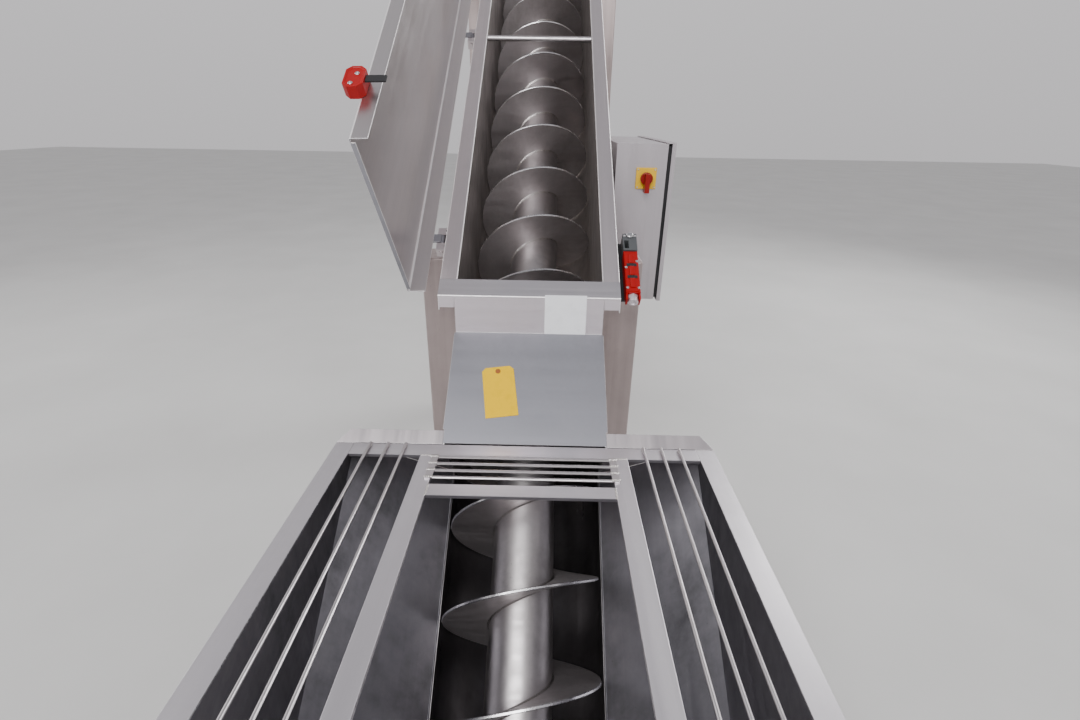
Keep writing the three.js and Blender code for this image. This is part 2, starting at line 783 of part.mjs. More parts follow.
// Cabinet: an open shell, a door tray on two pins, and the isolator on the near face
function makeCabinet() {
  const shell = box(cabinetX, cabinetY, cabinetZ);
  const hollow = box(
    [cabinetX[0] + cabinetWall, cabinetX[1] + 20],
    [cabinetY[0] + cabinetWall, cabinetY[1] - cabinetWall],
    [cabinetZ[0] + cabinetWall, cabinetZ[1] - cabinetWall],
  );
  const doorX = [cabinetX[1] + doorGap, cabinetX[1] + doorGap + doorDepth];
  const doorY = [cabinetY[0] - doorOverlap, cabinetY[1] + doorOverlap];
  const doorZ = [cabinetZ[0] - doorOverlap, cabinetZ[1] + doorOverlap];
  const pinX = doorX[1] - 4;
  const pinY = doorY[1] + doorPinOffset;
  const knuckleZ = [cabinetZ[0] + hingeInset, cabinetZ[1] - hingeInset];
  const half = standoffSide / 2;
  const blocks = standoffs.map(([y, z]) => box(
    [troughOuter + seat, cabinetX[0] + cabinetWall / 2],
    [y - half, y + half],
    [z - half, z + half],
  ));
  const lugX = [cabinetX[1] - doorLugReach, pinX];
  const lugs = knuckleZ.flatMap((z) => {
    const level = [z - 20 - doorLugHeight, z - 20];
    return [
      box([lugX[0], doorX[0] - 2], [cabinetY[1] - 2, pinY + doorLugRadius], level),
      box(lugX, [pinY - doorLugRadius, pinY + doorLugRadius], level),
      rodAlongZ(pinX, pinY, level, doorLugRadius),
    ];
  });
  addPiece(conveyor, 'cabinet_body', combine([shell, ...blocks, ...lugs], [hollow]),
    steel(steelGrey, 0.45));
  knuckleZ.forEach((z, i) => {
    const pin = rodAlongZ(pinX, pinY, [z - 20 + seat, z + 22], doorPinRadius);
    const washer = rodAlongZ(pinX, pinY, [z - 20 + seat, z - 18], 8);
    addPiece(conveyor, `door_pin_${i + 1}`, combine([pin, washer]), steel(steelLight));
  });

  const panel = box([doorX[1] - sheet, doorX[1]], doorY, doorZ);
  const edges = [
    box(doorX, [doorY[0], doorY[0] + sheet], doorZ),
    box(doorX, [doorY[1] - sheet, doorY[1]], doorZ),
    box(doorX, doorY, [doorZ[0], doorZ[0] + sheet]),
    box(doorX, doorY, [doorZ[1] - sheet, doorZ[1]]),
  ];
  const knuckles = knuckleZ.flatMap((z) => [
    rodAlongZ(pinX, pinY, [z - 17, z + 17], 8),
    box([pinX - 4, pinX + 4], [doorY[1] - 1, pinY], [z - 17, z + 17]),
  ]);
  const bores = knuckleZ.map(
    (z) => rodAlongZ(pinX, pinY, [z - 30, z + 30], boreRadius(doorPinRadius)),
  );
  addPiece(conveyor, 'cabinet_door', combine([panel, ...edges, ...knuckles], bores),
    steel(steelGrey, 0.45));

  const plateHalf = isolatorSide / 2;
  const plateY = [cabinetY[0] - seat - 6, cabinetY[0] - seat];
  const plate = box([isolatorX - plateHalf, isolatorX + plateHalf], plateY,
    [isolatorZ - plateHalf, isolatorZ + plateHalf]);
  addPiece(conveyor, 'isolator_plate', plate, plastic(plasticYellow));
  const knobFace = plateY[0] - seat;
  const knob = rodAlongY(isolatorX, isolatorZ, [knobFace - 14, knobFace], knobRadius, 24);
  const grip = box([isolatorX - gripWidth / 2, isolatorX + gripWidth / 2],
    [knobFace - 34, knobFace - 2], gripZ);
  addPiece(conveyor, 'isolator_handle', combine([knob, grip]), plastic(safetyRed));
}

// Columns beside the trough, base bars, and the hopper's legs
function makeSupports() {
  const inner = troughOuter + seat;
  const pairs = [['front', 0, frontColumnTop], ['rear', rearColumnY, rearColumnTop]];
  for (const [name, y, top] of pairs) {
    const ys = [y - columnDepth / 2, y + columnDepth / 2];
    const column = box([inner, columnOuter], ys, [0, top]);
    addPiece(conveyor, `${name}_column_right`, column, steel(steelDark, 0.5));
    addPiece(conveyor, `${name}_column_left`, mirrored(column), steel(steelDark, 0.5));
    const barHalf = inner - seat;
    const base = box([-barHalf, barHalf], [y - baseBarSize / 2, y + baseBarSize / 2],
      [0, baseBarSize]);
    addPiece(conveyor, `${name}_base_bar`, base, steel(steelDark, 0.5));
  }
  const barHalf = inner - seat;
  const crossBar = box([-barHalf, barHalf], [-columnDepth / 2, crossBarSize - columnDepth / 2],
    [crossBarZ - crossBarSize / 2, crossBarZ + crossBarSize / 2]);
  addPiece(conveyor, 'front_cross_bar', crossBar, steel(steelDark, 0.5));

  const legX = [rimInner + sheet + seat, rimInner + sheet + seat + hopperLegSize];
  const legY = [hopperLegY - hopperLegSize / 2, hopperLegY + hopperLegSize / 2];
  const leg = box(legX, legY, [0, rimZ - sheet - seat]);
  const legClearance = box([rimInner + rimWidth - sheet - seat, beyond], [-beyond, 0],
    [rimZ - rimLip - seat, rimZ]);
  const cutLeg = combine([leg], [legClearance]);
  addPiece(conveyor, 'hopper_leg_right', cutLeg, steel(steelDark, 0.5));
  addPiece(conveyor, 'hopper_leg_left', mirrored(cutLeg), steel(steelDark, 0.5));
  const tieHalf = legX[0] - seat;
  const tie = box([-tieHalf, tieHalf], [hopperLegY - legTieSize / 2, hopperLegY + legTieSize / 2],
    [legTieZ - legTieSize / 2, legTieZ + legTieSize / 2]);
  addPiece(conveyor, 'hopper_leg_tie', tie, steel(steelDark, 0.5));
}

makeTrough();
makeFlange();
makeApron();
makeHopper();
makeRim();
makeGrille();
makeScrew();
makeEnds();
makeSpout();
makeCover();
makeHingeBrackets();
makeSwitch();
makeCabinet();
makeSupports();

export default conveyor;
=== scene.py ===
"""Looks of the inclined screw conveyor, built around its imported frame.

Every sub-assembly is a class with its sizes as fields, in metres. Solids that are right in
the frame are taken over with their edges rounded, and the rest is modelled here.
"""

import logging
import math
from collections.abc import Callable, Iterable, Sequence
from dataclasses import dataclass
from enum import Enum

import bpy
from mathutils import Matrix, Vector


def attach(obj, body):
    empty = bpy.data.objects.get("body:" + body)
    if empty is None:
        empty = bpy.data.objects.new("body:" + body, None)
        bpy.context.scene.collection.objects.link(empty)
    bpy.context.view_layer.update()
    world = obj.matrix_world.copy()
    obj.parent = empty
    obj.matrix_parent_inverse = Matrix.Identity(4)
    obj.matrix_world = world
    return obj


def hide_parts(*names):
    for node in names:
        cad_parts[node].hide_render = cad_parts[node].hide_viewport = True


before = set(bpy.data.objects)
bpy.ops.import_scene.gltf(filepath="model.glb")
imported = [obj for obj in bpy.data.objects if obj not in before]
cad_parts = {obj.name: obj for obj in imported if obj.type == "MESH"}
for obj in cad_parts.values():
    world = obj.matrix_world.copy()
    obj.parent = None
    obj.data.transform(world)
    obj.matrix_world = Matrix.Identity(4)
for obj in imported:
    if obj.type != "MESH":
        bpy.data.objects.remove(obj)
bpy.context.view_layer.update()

logging.basicConfig(level=logging.INFO, format="%(message)s")
log = logging.getLogger("conveyor")

Face = bpy.types.MeshPolygon
Material = bpy.types.Material
Node = bpy.types.Node
Piece = bpy.types.Object
Socket = bpy.types.NodeSocket
Tree = bpy.types.NodeTree
Colour = tuple[float, float, float]
Point = Sequence[float]
Span = tuple[float, float]
FaceTest = Callable[[Face], bool]

INCLINE_ANGLE = math.radians(36)
LOW_END = Vector((0.0, -0.9683, 0.2081))
ON_INCLINE = Matrix.Translation(LOW_END) @ Matrix.Rotation(INCLINE_ANGLE, 4, "X")
OPEN_ANGLE = math.radians(91.5)
HINGE = Vector((-0.2405, 0.0, 0.212))
ON_OPEN_COVER = (
    ON_INCLINE
    @ Matrix.Translation(HINGE)
    @ Matrix.Rotation(-OPEN_ANGLE, 4, "Y")
    @ Matrix.Translation(-HINGE)
)
LEFT, RIGHT = Vector((-1, 0, 0)), Vector((1, 0, 0))
NEAR, FAR = Vector((0, -1, 0)), Vector((0, 1, 0))
UP = Vector((0, 0, 1))
UPHILL = ON_INCLINE.to_3x3() @ FAR
OFF_INCLINE = ON_INCLINE.to_3x3() @ UP

FULL_TURN = 2 * math.pi
QUARTER_TURN = math.pi / 2
SIDES = (("left", -1), ("right", 1))

# Edges that turn more than the sharp angle are rounded, and faces within the flat one merge.
SHARP_ANGLE = math.radians(28)
FLAT_ANGLE = math.radians(1)
MERGE_DISTANCE = 0.00002

# A face looks in a direction, and an edge runs in it, where the cosine between them is above this.
FACING = 0.9
SQUARE_ON = 0.95

# A sheet's cut faces are narrower than the first width, and both faces beside a fold are wider
# than the second.
CUT_FACE_WIDTH = 0.0033
FOLD_FACE_WIDTH = 0.006


class Body(Enum):
    """The moving bodies of the frame."""

    FRAME = "frame"
    COVER = "cover"
    SCREW = "screw"
    DOOR = "door"
    HANDLE = "handle"


class Slot(Enum):
    """The record's material slots."""

    BRUSHED = "brushed_steel"
    DARK = "dark_steel"
    POLISHED = "polished_steel"
    PAINT = "drive_paint"
    RED = "safety_red"
    GREY = "grey_plastic"
    YELLOW = "signal_yellow"


class Grain(Enum):
    """The directions of a brushed finish, as the turns that lay its streaks."""

    ACROSS = ((0.0, 0.0, 0.0),)
    ALONG = ((0.0, 0.0, -QUARTER_TURN),)
    UPRIGHT = ((0.0, QUARTER_TURN, 0.0),)
    UPHILL = ((-INCLINE_ANGLE, 0.0, 0.0), (0.0, 0.0, -QUARTER_TURN))


class NodeSheet:
    """A small helper that lays shader nodes in a tree and links them."""

    def __init__(self, tree: Tree) -> None:
        """Keeps the tree that nodes are added to.

        Args:
            tree: A material's, world's or group's node tree.
        """
        self.tree = tree

    def add(self, kind: str, **settings: object) -> Node:
        """Adds a node and sets its properties.

        Args:
            kind: The node's type name.
            **settings: Properties to set on the node.

        Returns:
            The new node.
        """
        node = self.tree.nodes.new(kind)
        for name, value in settings.items():
            setattr(node, name, value)
        return node

    def link(self, source: Socket, target: Socket) -> None:
        """Links an output to an input."""
        self.tree.links.new(source, target)

    def place(self) -> Socket:
        """Gives the place on the object, in its own coordinates."""
        return self.add("ShaderNodeTexCoord").outputs["Object"]

    def mapping(self, vector: Socket, **settings: Point) -> Socket:
        """Turns or stretches a vector.

        Args:
            vector: The vector.
            **settings: The Rotation or the Scale.

        Returns:
            The mapped vector's socket.
        """
        node = self.add("ShaderNodeMapping")
        for name, value in settings.items():
            node.inputs[name].default_value = value
        self.link(vector, node.inputs["Vector"])
        return node.outputs["Vector"]

    def noise(
        self, vector: Socket, scale: Socket | float, detail: float = 4.0, roughness: float = 0.55
    ) -> Socket:
        """Adds a noise texture.

        Args:
            vector: Where the texture is read.
            scale: Cells per unit of the vector, linked or plain.
            detail: Octaves of detail.
            roughness: Strength of the finer octaves.

        Returns:
            The noise value's socket.
        """
        node = self.add("ShaderNodeTexNoise")
        if isinstance(scale, Socket):
            self.link(scale, node.inputs["Scale"])
        else:
            node.inputs["Scale"].default_value = scale
        node.inputs["Detail"].default_value = detail
        node.inputs["Roughness"].default_value = roughness
        self.link(vector, node.inputs["Vector"])
        return node.outputs["Fac"]

    def remap(
        self, value: Socket, low: float, high: float, to_low: float = 0.0, to_high: float = 1.0
    ) -> Socket:
        """Stretches a range of values to another, held at its ends.

        Args:
            value: The value to stretch.
            low: The start of the range that is read.
            high: The end of the range that is read.
            to_low: What the start becomes.
            to_high: What the end becomes.

        Returns:
            The stretched value's socket.
        """
        node = self.add("ShaderNodeMapRange", clamp=True)
        node.inputs["From Min"].default_value = low
        node.inputs["From Max"].default_value = high
        node.inputs["To Min"].default_value = to_low
        node.inputs["To Max"].default_value = to_high
        self.link(value, node.inputs["Value"])
        return node.outputs["Result"]

    def scale(self, value: Socket, to_low: float, to_high: float) -> Socket:
        """Stretches the range from 0 to 1 to another, as remap does."""
        return self.remap(value, 0.0, 1.0, to_low, to_high)

    def math(self, operation: str, first: Socket, second: Socket) -> Socket:
        """Adds a math node.

        Args:
            operation: The operation's name.
            first: The first value.
            second: The second value.

        Returns:
            The result's socket.
        """
        node = self.add("ShaderNodeMath", operation=operation)
        self.link(first, node.inputs[0])
        self.link(second, node.inputs[1])
        return node.outputs["Value"]

    def mix(self, factor: Socket, first: Socket | Colour, second: Socket | Colour) -> Socket:
        """Mixes two colours.

        Args:
            factor: How much of the second colour shows.
            first: The first colour, linked or plain.
            second: The second colour, linked or plain.

        Returns:
            The mixed colour's socket.
        """
        node = self.add("ShaderNodeMix", data_type="RGBA")
        self.link(factor, node.inputs[0])
        for socket, colour in ((node.inputs[6], first), (node.inputs[7], second)):
            if isinstance(colour, Socket):
                self.link(colour, socket)
            else:
                socket.default_value = (*colour, 1.0)
        return node.outputs[2]

    def use_group(self, tree: Tree, vector: Socket, **values: float) -> Node:
        """Places a node group.

        Args:
            tree: The group.
            vector: What its Vector socket reads.
            **values: Plain values for its other sockets.

        Returns:
            The group's node.
        """
        node = self.add("ShaderNodeGroup", node_tree=tree)
        self.link(vector, node.inputs["Vector"])
        for name, value in values.items():
            node.inputs[name].default_value = value
        return node


def new_group(name: str, setting: str, results: Sequence[str]) -> tuple[NodeSheet, Node, Node]:
    """Starts a shader node group that reads a vector and one plain value.

    Args:
        name: The group's name.
        setting: The plain value's name.
        results: The names of the values that it puts out.

    Returns:
        A helper on the group's tree, its input node and its output node.
    """
    tree = bpy.data.node_groups.new(name, "ShaderNodeTree")
    tree.interface.new_socket(name="Vector", in_out="INPUT", socket_type="NodeSocketVector")
    tree.interface.new_socket(name=setting, in_out="INPUT", socket_type="NodeSocketFloat")
    for label in results:
        tree.interface.new_socket(name=label, in_out="OUTPUT", socket_type="NodeSocketFloat")
    sheet = NodeSheet(tree)
    return sheet, sheet.add("NodeGroupInput"), sheet.add("NodeGroupOutput")


def make_grain_group() -> Tree:
    """Brushed grain: fine streaks along the first axis of the vector.

    Returns:
        The group's tree, with a height and a slow variation.
    """
    sheet, start, end = new_group("brushed grain", "Fineness", ("Height", "Streak"))
    stretched = sheet.mapping(start.outputs["Vector"], Scale=(0.02, 1.0, 1.0))
    fine = sheet.noise(stretched, start.outputs["Fineness"], detail=3.0, roughness=0.7)
    broad = sheet.noise(stretched, 46.0, detail=5.0, roughness=0.62)
    sheet.link(fine, end.inputs["Height"])
    sheet.link(sheet.remap(broad, 0.3, 0.7), end.inputs["Streak"])
    return sheet.tree


def make_soil_group() -> Tree:
    """Soil: cloudy smears, runs and small spots.

    Returns:
        The group's tree, with a smear mask and a spot mask.
    """
    sheet, start, end = new_group("soil", "Amount", ("Smear", "Spots"))
    place = start.outputs["Vector"]
    cloud = sheet.noise(place, 3.2, detail=7.0, roughness=0.62)
    runs = sheet.noise(sheet.mapping(place, Scale=(1.0, 1.0, 0.16)), 24.0, roughness=0.6)
    specks = sheet.noise(place, 120.0, detail=2.0, roughness=0.5)
    masks = {
        "Smear": (sheet.remap(cloud, 0.36, 0.68), sheet.remap(runs, 0.3, 0.7, 0.4)),
        "Spots": (sheet.remap(specks, 0.7, 0.78), sheet.remap(cloud, 0.5, 0.65)),
    }
    for label, (first, second) in masks.items():
        both = sheet.math("MULTIPLY", first, second)
        sheet.link(sheet.math("MULTIPLY", both, start.outputs["Amount"]), end.inputs[label])
    return sheet.tree


GRAIN_GROUP = make_grain_group()
SOIL_GROUP = make_soil_group()


def darker(colour: Colour, share: float) -> Colour:
    """Gives a colour with this share of its light."""
    return tuple(share * channel for channel in colour)


def start_material(name: str) -> tuple[Material, NodeSheet, Node]:
    """Starts a node material.

    Args:
        name: The material's name.

    Returns:
        The material, a helper on its tree, and its Principled BSDF.
    """
    material = bpy.data.materials.new(name)
    material.use_nodes = True
    shader = material.node_tree.nodes["Principled BSDF"]
    return material, NodeSheet(material.node_tree), shader


def link_surface(
    sheet: NodeSheet, shader: Node, colour: Socket, roughness: Socket, height: Socket,
    strength: float, depth: float,
) -> None:
    """Links a shader's colour and roughness, and feeds a height to its normal.

    Args:
        sheet: The helper on the material's tree.
        shader: The shader.
        colour: The base colour.
        roughness: The roughness.
        height: The height of the surface's relief.
        strength: The relief's strength.
        depth: The relief's depth in metres.
    """
    sheet.link(colour, shader.inputs["Base Color"])
    sheet.link(roughness, shader.inputs["Roughness"])
    bump = sheet.add("ShaderNodeBump")
    bump.inputs["Strength"].default_value = strength
    bump.inputs["Distance"].default_value = depth
    sheet.link(height, bump.inputs["Height"])
    sheet.link(bump.outputs["Normal"], shader.inputs["Normal"])


@dataclass(frozen=True)
class SteelFinish:
    """Stainless steel sheet, brushed and soiled by use."""

    name: str
    colour: Colour = (0.56, 0.55, 0.57)
    dull: Colour = (0.3, 0.29, 0.29)
    roughness: float = 0.36
    spread: float = 0.16
    grain: Grain = Grain.ALONG
    fineness: float = 900.0
    bump: float = 0.12
    soil: float = 0.5
    streak: float = 0.35
    streak_shade: float = 0.78
    spot_share: float = 0.8
    spot_shade: float = 0.6
    soil_roughness: float = 0.3

    def build(self) -> Material:
        """Makes the material.

        Returns:
            The material.
        """
        material, sheet, shader = start_material(self.name)
        place = turned = sheet.place()
        for turn in self.grain.value:
            turned = sheet.mapping(turned, Rotation=turn)
        grain = sheet.use_group(GRAIN_GROUP, turned, Fineness=self.fineness).outputs
        soil = sheet.use_group(SOIL_GROUP, place, Amount=self.soil).outputs
        streak = sheet.scale(grain["Streak"], 0.0, self.streak)
        spots = sheet.scale(soil["Spots"], 0.0, self.spot_share)
        colour = sheet.mix(streak, self.colour, darker(self.colour, self.streak_shade))
        colour = sheet.mix(soil["Smear"], colour, self.dull)
        colour = sheet.mix(spots, colour, darker(self.dull, self.spot_shade))
        half = self.spread / 2
        rough = sheet.scale(grain["Streak"], self.roughness - half, self.roughness + half)
        rough_soil = sheet.scale(soil["Smear"], 0.0, self.soil_roughness)
        rough = sheet.math("ADD", rough, rough_soil)
        link_surface(sheet, shader, colour, rough, grain["Height"], self.bump, depth=0.0004)
        shader.inputs["Metallic"].default_value = 1.0
        return material


@dataclass(frozen=True)
class PlasticFinish:
    """Moulded plastic with a fine skin and some dust."""

    name: str
    colour: Colour
    roughness: float = 0.35
    dust: float = 0.4
    dusty_roughness: float = 0.3
    specular: float = 0.3

    def build(self) -> Material:
        """Makes the material.

        Returns:
            The material.
        """
        material, sheet, shader = start_material(self.name)
        place = sheet.place()
        smear = sheet.use_group(SOIL_GROUP, place, Amount=self.dust).outputs["Smear"]
        dusty = tuple(0.6 * channel + 0.12 for channel in self.colour)
        colour = sheet.mix(sheet.scale(smear, 0.0, 0.5), self.colour, dusty)
        rough = sheet.scale(smear, self.roughness, self.roughness + self.dusty_roughness)
        skin = sheet.noise(place, 1400.0, detail=2.0)
        link_surface(sheet, shader, colour, rough, skin, strength=0.08, depth=0.0003)
        shader.inputs["Specular IOR Level"].default_value = self.specular
        return material


@dataclass(frozen=True)
class PaintFinish:
    """Machine paint with a slight orange peel, under a film of soil."""

    name: str
    colour: Colour
    soiled: Colour = (0.09, 0.085, 0.08)
    soil: float = 0.7
    roughness: float = 0.42
    spread: float = 0.16
    coat: float = 0.2

    def build(self) -> Material:
        """Makes the material.

        Returns:
            The material.
        """
        material, sheet, shader = start_material(self.name)
        place = sheet.place()
        smear = sheet.use_group(SOIL_GROUP, place, Amount=self.soil).outputs["Smear"]
        peel = sheet.noise(place, 420.0, detail=2.0)
        colour = sheet.mix(smear, self.colour, self.soiled)
        half = self.spread / 2
        rough = sheet.remap(peel, 0.3, 0.7, self.roughness - half, self.roughness + half)
        link_surface(sheet, shader, colour, rough, peel, strength=0.15, depth=0.0005)
        shader.inputs["Coat Weight"].default_value = self.coat
        return material


@dataclass(frozen=True)
class WeldFinish:
    """Bright, rough bead of weld metal with heat tint."""

    name: str
    colour: Colour = (0.72, 0.7, 0.69)
    tint: Colour = (0.42, 0.37, 0.33)
    roughness: Span = (0.18, 0.42)

    def build(self) -> Material:
        """Makes the material.

        Returns:
            The material.
        """
        material, sheet, shader = start_material(self.name)
        ripple = sheet.noise(sheet.place(), 520.0, detail=3.0, roughness=0.7)
        colour = sheet.mix(sheet.remap(ripple, 0.4, 0.7), self.colour, self.tint)
        rough = sheet.remap(ripple, 0.3, 0.7, *self.roughness)
        link_surface(sheet, shader, colour, rough, ripple, strength=0.6, depth=0.0012)
        shader.inputs["Metallic"].default_value = 1.0
        return material


@dataclass(frozen=True)
class PaperFinish:
    """Card or paper with a faint tooth and handling marks."""

    name: str
    colour: Colour
    marks: float = 0.35
    mark_shade: float = 0.72
    roughness: Span = (0.75, 0.95)
    specular: float = 0.08

    def build(self) -> Material:
        """Makes the material.

        Returns:
            The material.
        """
        material, sheet, shader = start_material(self.name)
        place = sheet.place()
        cloud = sheet.noise(place, 42.0, detail=6.0, roughness=0.6)
        marks = sheet.remap(cloud, 0.5, 0.75, 0.0, self.marks)
        colour = sheet.mix(marks, self.colour, darker(self.colour, self.mark_shade))
        tooth = sheet.noise(place, 2600.0, detail=2.0)
        rough = sheet.remap(tooth, 0.3, 0.7, *self.roughness)
        link_surface(sheet, shader, colour, rough, tooth, strength=0.1, depth=0.0002)
        shader.inputs["Specular IOR Level"].default_value = self.specular
        return material


class Finishes:
    """Every material of the conveyor, each made once."""

    def __init__(self) -> None:
        """Makes the materials."""
        rim, rim_dull = (0.68, 0.65, 0.68), (0.44, 0.42, 0.44)
        self.sheet = SteelFinish("brushed sheet upright", grain=Grain.UPRIGHT).build()
        self.flange = SteelFinish(
            "flange steel", (0.78, 0.715, 0.73), (0.52, 0.475, 0.485), roughness=0.34,
            grain=Grain.UPHILL, soil=0.35,
        ).build()
        # A lighter copy of the steel for faces that look to the front: painted light from the front.
        self.front_lit_steel = SteelFinish(
            "front steel, painted light", (0.86, 0.8, 0.84), (0.6, 0.56, 0.58), roughness=0.5,
            grain=Grain.ACROSS, soil=0.25,
        ).build()
        self.rim = SteelFinish("rim steel", rim, rim_dull, grain=Grain.ALONG, soil=0.4).build()
        self.rim_across = SteelFinish(
            "rim steel across", rim, rim_dull, grain=Grain.ACROSS, soil=0.4
        ).build()
        # Darker than the rim's steel, and soiled towards near black: mostly painted shade inside the
        # hopper, with real soil in its smears.
        self.hopper = SteelFinish(
            "hopper steel, painted shade", (0.36, 0.35, 0.38), (0.08, 0.08, 0.085), grain=Grain.UPHILL,
            bump=0.06, soil=0.9,
        ).build()
        self.trough = SteelFinish(
            "trough steel", (0.58, 0.54, 0.52), (0.24, 0.22, 0.21), roughness=0.32,
            grain=Grain.UPHILL, bump=0.06, soil=0.8,
        ).build()
        # A darker copy of the trough steel for its bottom down in the hopper: painted shade, with some
        # real residue.
        self.trough_shade_and_residue = SteelFinish(
            "trough steel in the hopper, painted shade and residue", (0.2, 0.19, 0.195), (0.06, 0.055, 0.055),
            roughness=0.3, grain=Grain.UPHILL, bump=0.06, soil=0.8,
        ).build()
        # Near-white steel laid on folds and cut faces: a painted highlight for the light that the
        # roundings catch.
        self.fold_highlight = SteelFinish(
            "painted fold highlight", (1.0, 0.97, 0.97), (0.8, 0.77, 0.77), roughness=0.55,
            grain=Grain.UPHILL, soil=0.05,
        ).build()
        self.apron = SteelFinish(
            "apron steel", (0.43, 0.43, 0.47), (0.22, 0.22, 0.24), roughness=0.4, spread=0.05,
            grain=Grain.ACROSS, soil=0.7, streak=0.14,
        ).build()
        self.cover = SteelFinish(
            "cover steel", (0.72, 0.675, 0.67), (0.5, 0.5, 0.55), roughness=0.3, spread=0.06,
            grain=Grain.UPHILL, bump=0.04, soil=0.3,
        ).build()
        self.screw = SteelFinish(
            "worn screw steel", (0.6, 0.565, 0.57), (0.2, 0.185, 0.18), roughness=0.32,
            spread=0.14, grain=Grain.ACROSS, bump=0.08, soil=0.7,
        ).build()
        self.flight = SteelFinish(
            "worn flight steel", (0.82, 0.77, 0.78), (0.34, 0.31, 0.3), roughness=0.4,
            spread=0.14, grain=Grain.ACROSS, bump=0.08, soil=0.8,
        ).build()
        self.rod = SteelFinish("drawn rod", (0.58, 0.55, 0.56), roughness=0.34, soil=0.4).build()
        self.column = SteelFinish(
            "column steel", (0.54, 0.46, 0.45), (0.31, 0.26, 0.25), roughness=0.48,
            grain=Grain.UPRIGHT, soil=0.6,
        ).build()
        self.cabinet = SteelFinish(
            "cabinet steel", (0.62, 0.58, 0.61), (0.4, 0.37, 0.38), roughness=0.4,
            grain=Grain.UPRIGHT,
        ).build()
        self.bright = SteelFinish(
            "bright fitting", (0.75, 0.74, 0.75), roughness=0.24, grain=Grain.UPRIGHT, soil=0.2
        ).build()
        self.weld = WeldFinish("weld bead").build()
        self.red = PlasticFinish("safety red", (0.36, 0.001, 0.002), 0.4, dust=0.05).build()
        self.dark_red = PlasticFinish("handle red", (0.26, 0.006, 0.003), 0.28, dust=0.1).build()
        self.grey = PlasticFinish("switch grey", (0.085, 0.09, 0.095), 0.45).build()
        self.black = PlasticFinish("gasket black", (0.018, 0.018, 0.02), 0.6).build()
        self.yellow = PlasticFinish("plate yellow", (0.8, 0.5, 0.02), 0.3).build()
        self.paint = PaintFinish("drive paint", (0.12, 0.15, 0.18)).build()
        self.card_yellow = PaperFinish("yellow tag card", (0.92, 0.57, 0.0)).build()
        self.card_white = PaperFinish("white card", (0.96, 0.97, 1.0)).build()
        self.card_brown = PaperFinish("eyelet card", (0.36, 0.13, 0.04)).build()


def deselect_all() -> None:
    """Leaves nothing selected and no object being edited."""
    if bpy.context.object and bpy.context.object.mode != "OBJECT":
        bpy.ops.object.mode_set(mode="OBJECT")
    bpy.ops.object.select_all(action="DESELECT")


def make_active(piece: Piece) -> None:
    """Selects one object and makes it the active one.

    Args:
        piece: The object.
    """
    deselect_all()
    piece.select_set(True)
    bpy.context.view_layer.objects.active = piece


def add_object(name: str, data: bpy.types.ID) -> Piece:
    """Adds an object to the scene.

    Args:
        name: The object's name.
        data: The mesh, light or camera that it holds.

    Returns:
        The new object.
    """
    piece = bpy.data.objects.new(name, data)
    bpy.context.scene.collection.objects.link(piece)
    return piece


def apply_modifier(piece: Piece, kind: str, **settings: object) -> None:
    """Adds a modifier, sets it and applies it.

    Args:
        piece: The object.
        kind: The modifier's type.
        **settings: The modifier's properties.
    """
    make_active(piece)
    modifier = piece.modifiers.new(kind.lower(), kind)
    for name, value in settings.items():
        setattr(modifier, name, value)
    bpy.ops.object.modifier_apply(modifier=modifier.name)


def round_edges(
    piece: Piece, width: float = 0.0, segments: int = 2, smooth_angle: float = 35.0
) -> None:
    """Rounds sharp edges and sets smooth shading between small angles.

    Args:
        piece: The object.
        width: The rounding's width in metres, or none to keep the edges.
        segments: Faces across a rounding.
        smooth_angle: Angle in degrees up to which faces shade as one.
    """
    if width > 0:
        apply_modifier(
            piece, "BEVEL", width=width, segments=segments, limit_method="ANGLE",
            angle_limit=SHARP_ANGLE, miter_outer="MITER_ARC",
        )
    make_active(piece)
    bpy.ops.object.shade_smooth_by_angle(angle=math.radians(smooth_angle))
    apply_modifier(piece, "WEIGHTED_NORMAL", keep_sharp=True)


def place_in_mesh(piece: Piece, matrix: Matrix) -> None:
    """Moves an object by a matrix, and puts that place into its mesh.

    Args:
        piece: The object.
        matrix: Where the object's own frame goes.
    """
    make_active(piece)
    piece.matrix_world = matrix @ piece.matrix_world
    bpy.ops.object.transform_apply(location=True, rotation=True, scale=True)


def turn_up_to(direction: Point) -> Matrix:
    """Gives the turn that takes the upward axis to a direction."""
    return Vector(direction).to_track_quat("Z", "Y").to_matrix().to_4x4()


def add_box(name: str, x: Span, y: Span, z: Span) -> Piece:
    """Adds a box.

    Args:
        name: The object's name.
        x: The box's ends along the first axis in metres.
        y: Its ends along the second axis.
        z: Its ends along the third axis.

    Returns:
        The new object, with its place in its mesh.
    """
    deselect_all()
    middle = [sum(ends) / 2 for ends in (x, y, z)]
    bpy.ops.mesh.primitive_cube_add(size=1, location=middle)
    piece = bpy.context.object
    piece.name = name
    piece.scale = [high - low for low, high in (x, y, z)]
    bpy.ops.object.transform_apply(location=True, rotation=True, scale=True)
    return piece


def add_round(name: str, start: Point, end: Point, radius: float, sides: int = 32) -> Piece:
    """Adds a round bar between two points.

    Args:
        name: The object's name.
        start: One end's centre.
        end: The other end's centre.
        radius: The bar's radius.
        sides: Faces round the bar.

    Returns:
        The new object, with its place in its mesh.
    """
    deselect_all()
    first, last = Vector(start), Vector(end)
    run = last - first
    bpy.ops.mesh.primitive_cylinder_add(vertices=sides, radius=radius, depth=run.length)
    piece = bpy.context.object
    piece.name = name
    place_in_mesh(piece, Matrix.Translation((first + last) / 2) @ turn_up_to(run))
    return piece


def join(name: str, pieces: Sequence[Piece]) -> Piece:
    """Joins objects into one mesh.

    Args:
        name: The joined object's name.
        pieces: The objects.

    Returns:
        The joined object.
    """
    make_active(pieces[0])
    for piece in pieces[1:]:
        piece.select_set(True)
    if len(pieces) > 1:
        bpy.ops.object.join()
    pieces[0].name = name
    return pieces[0]


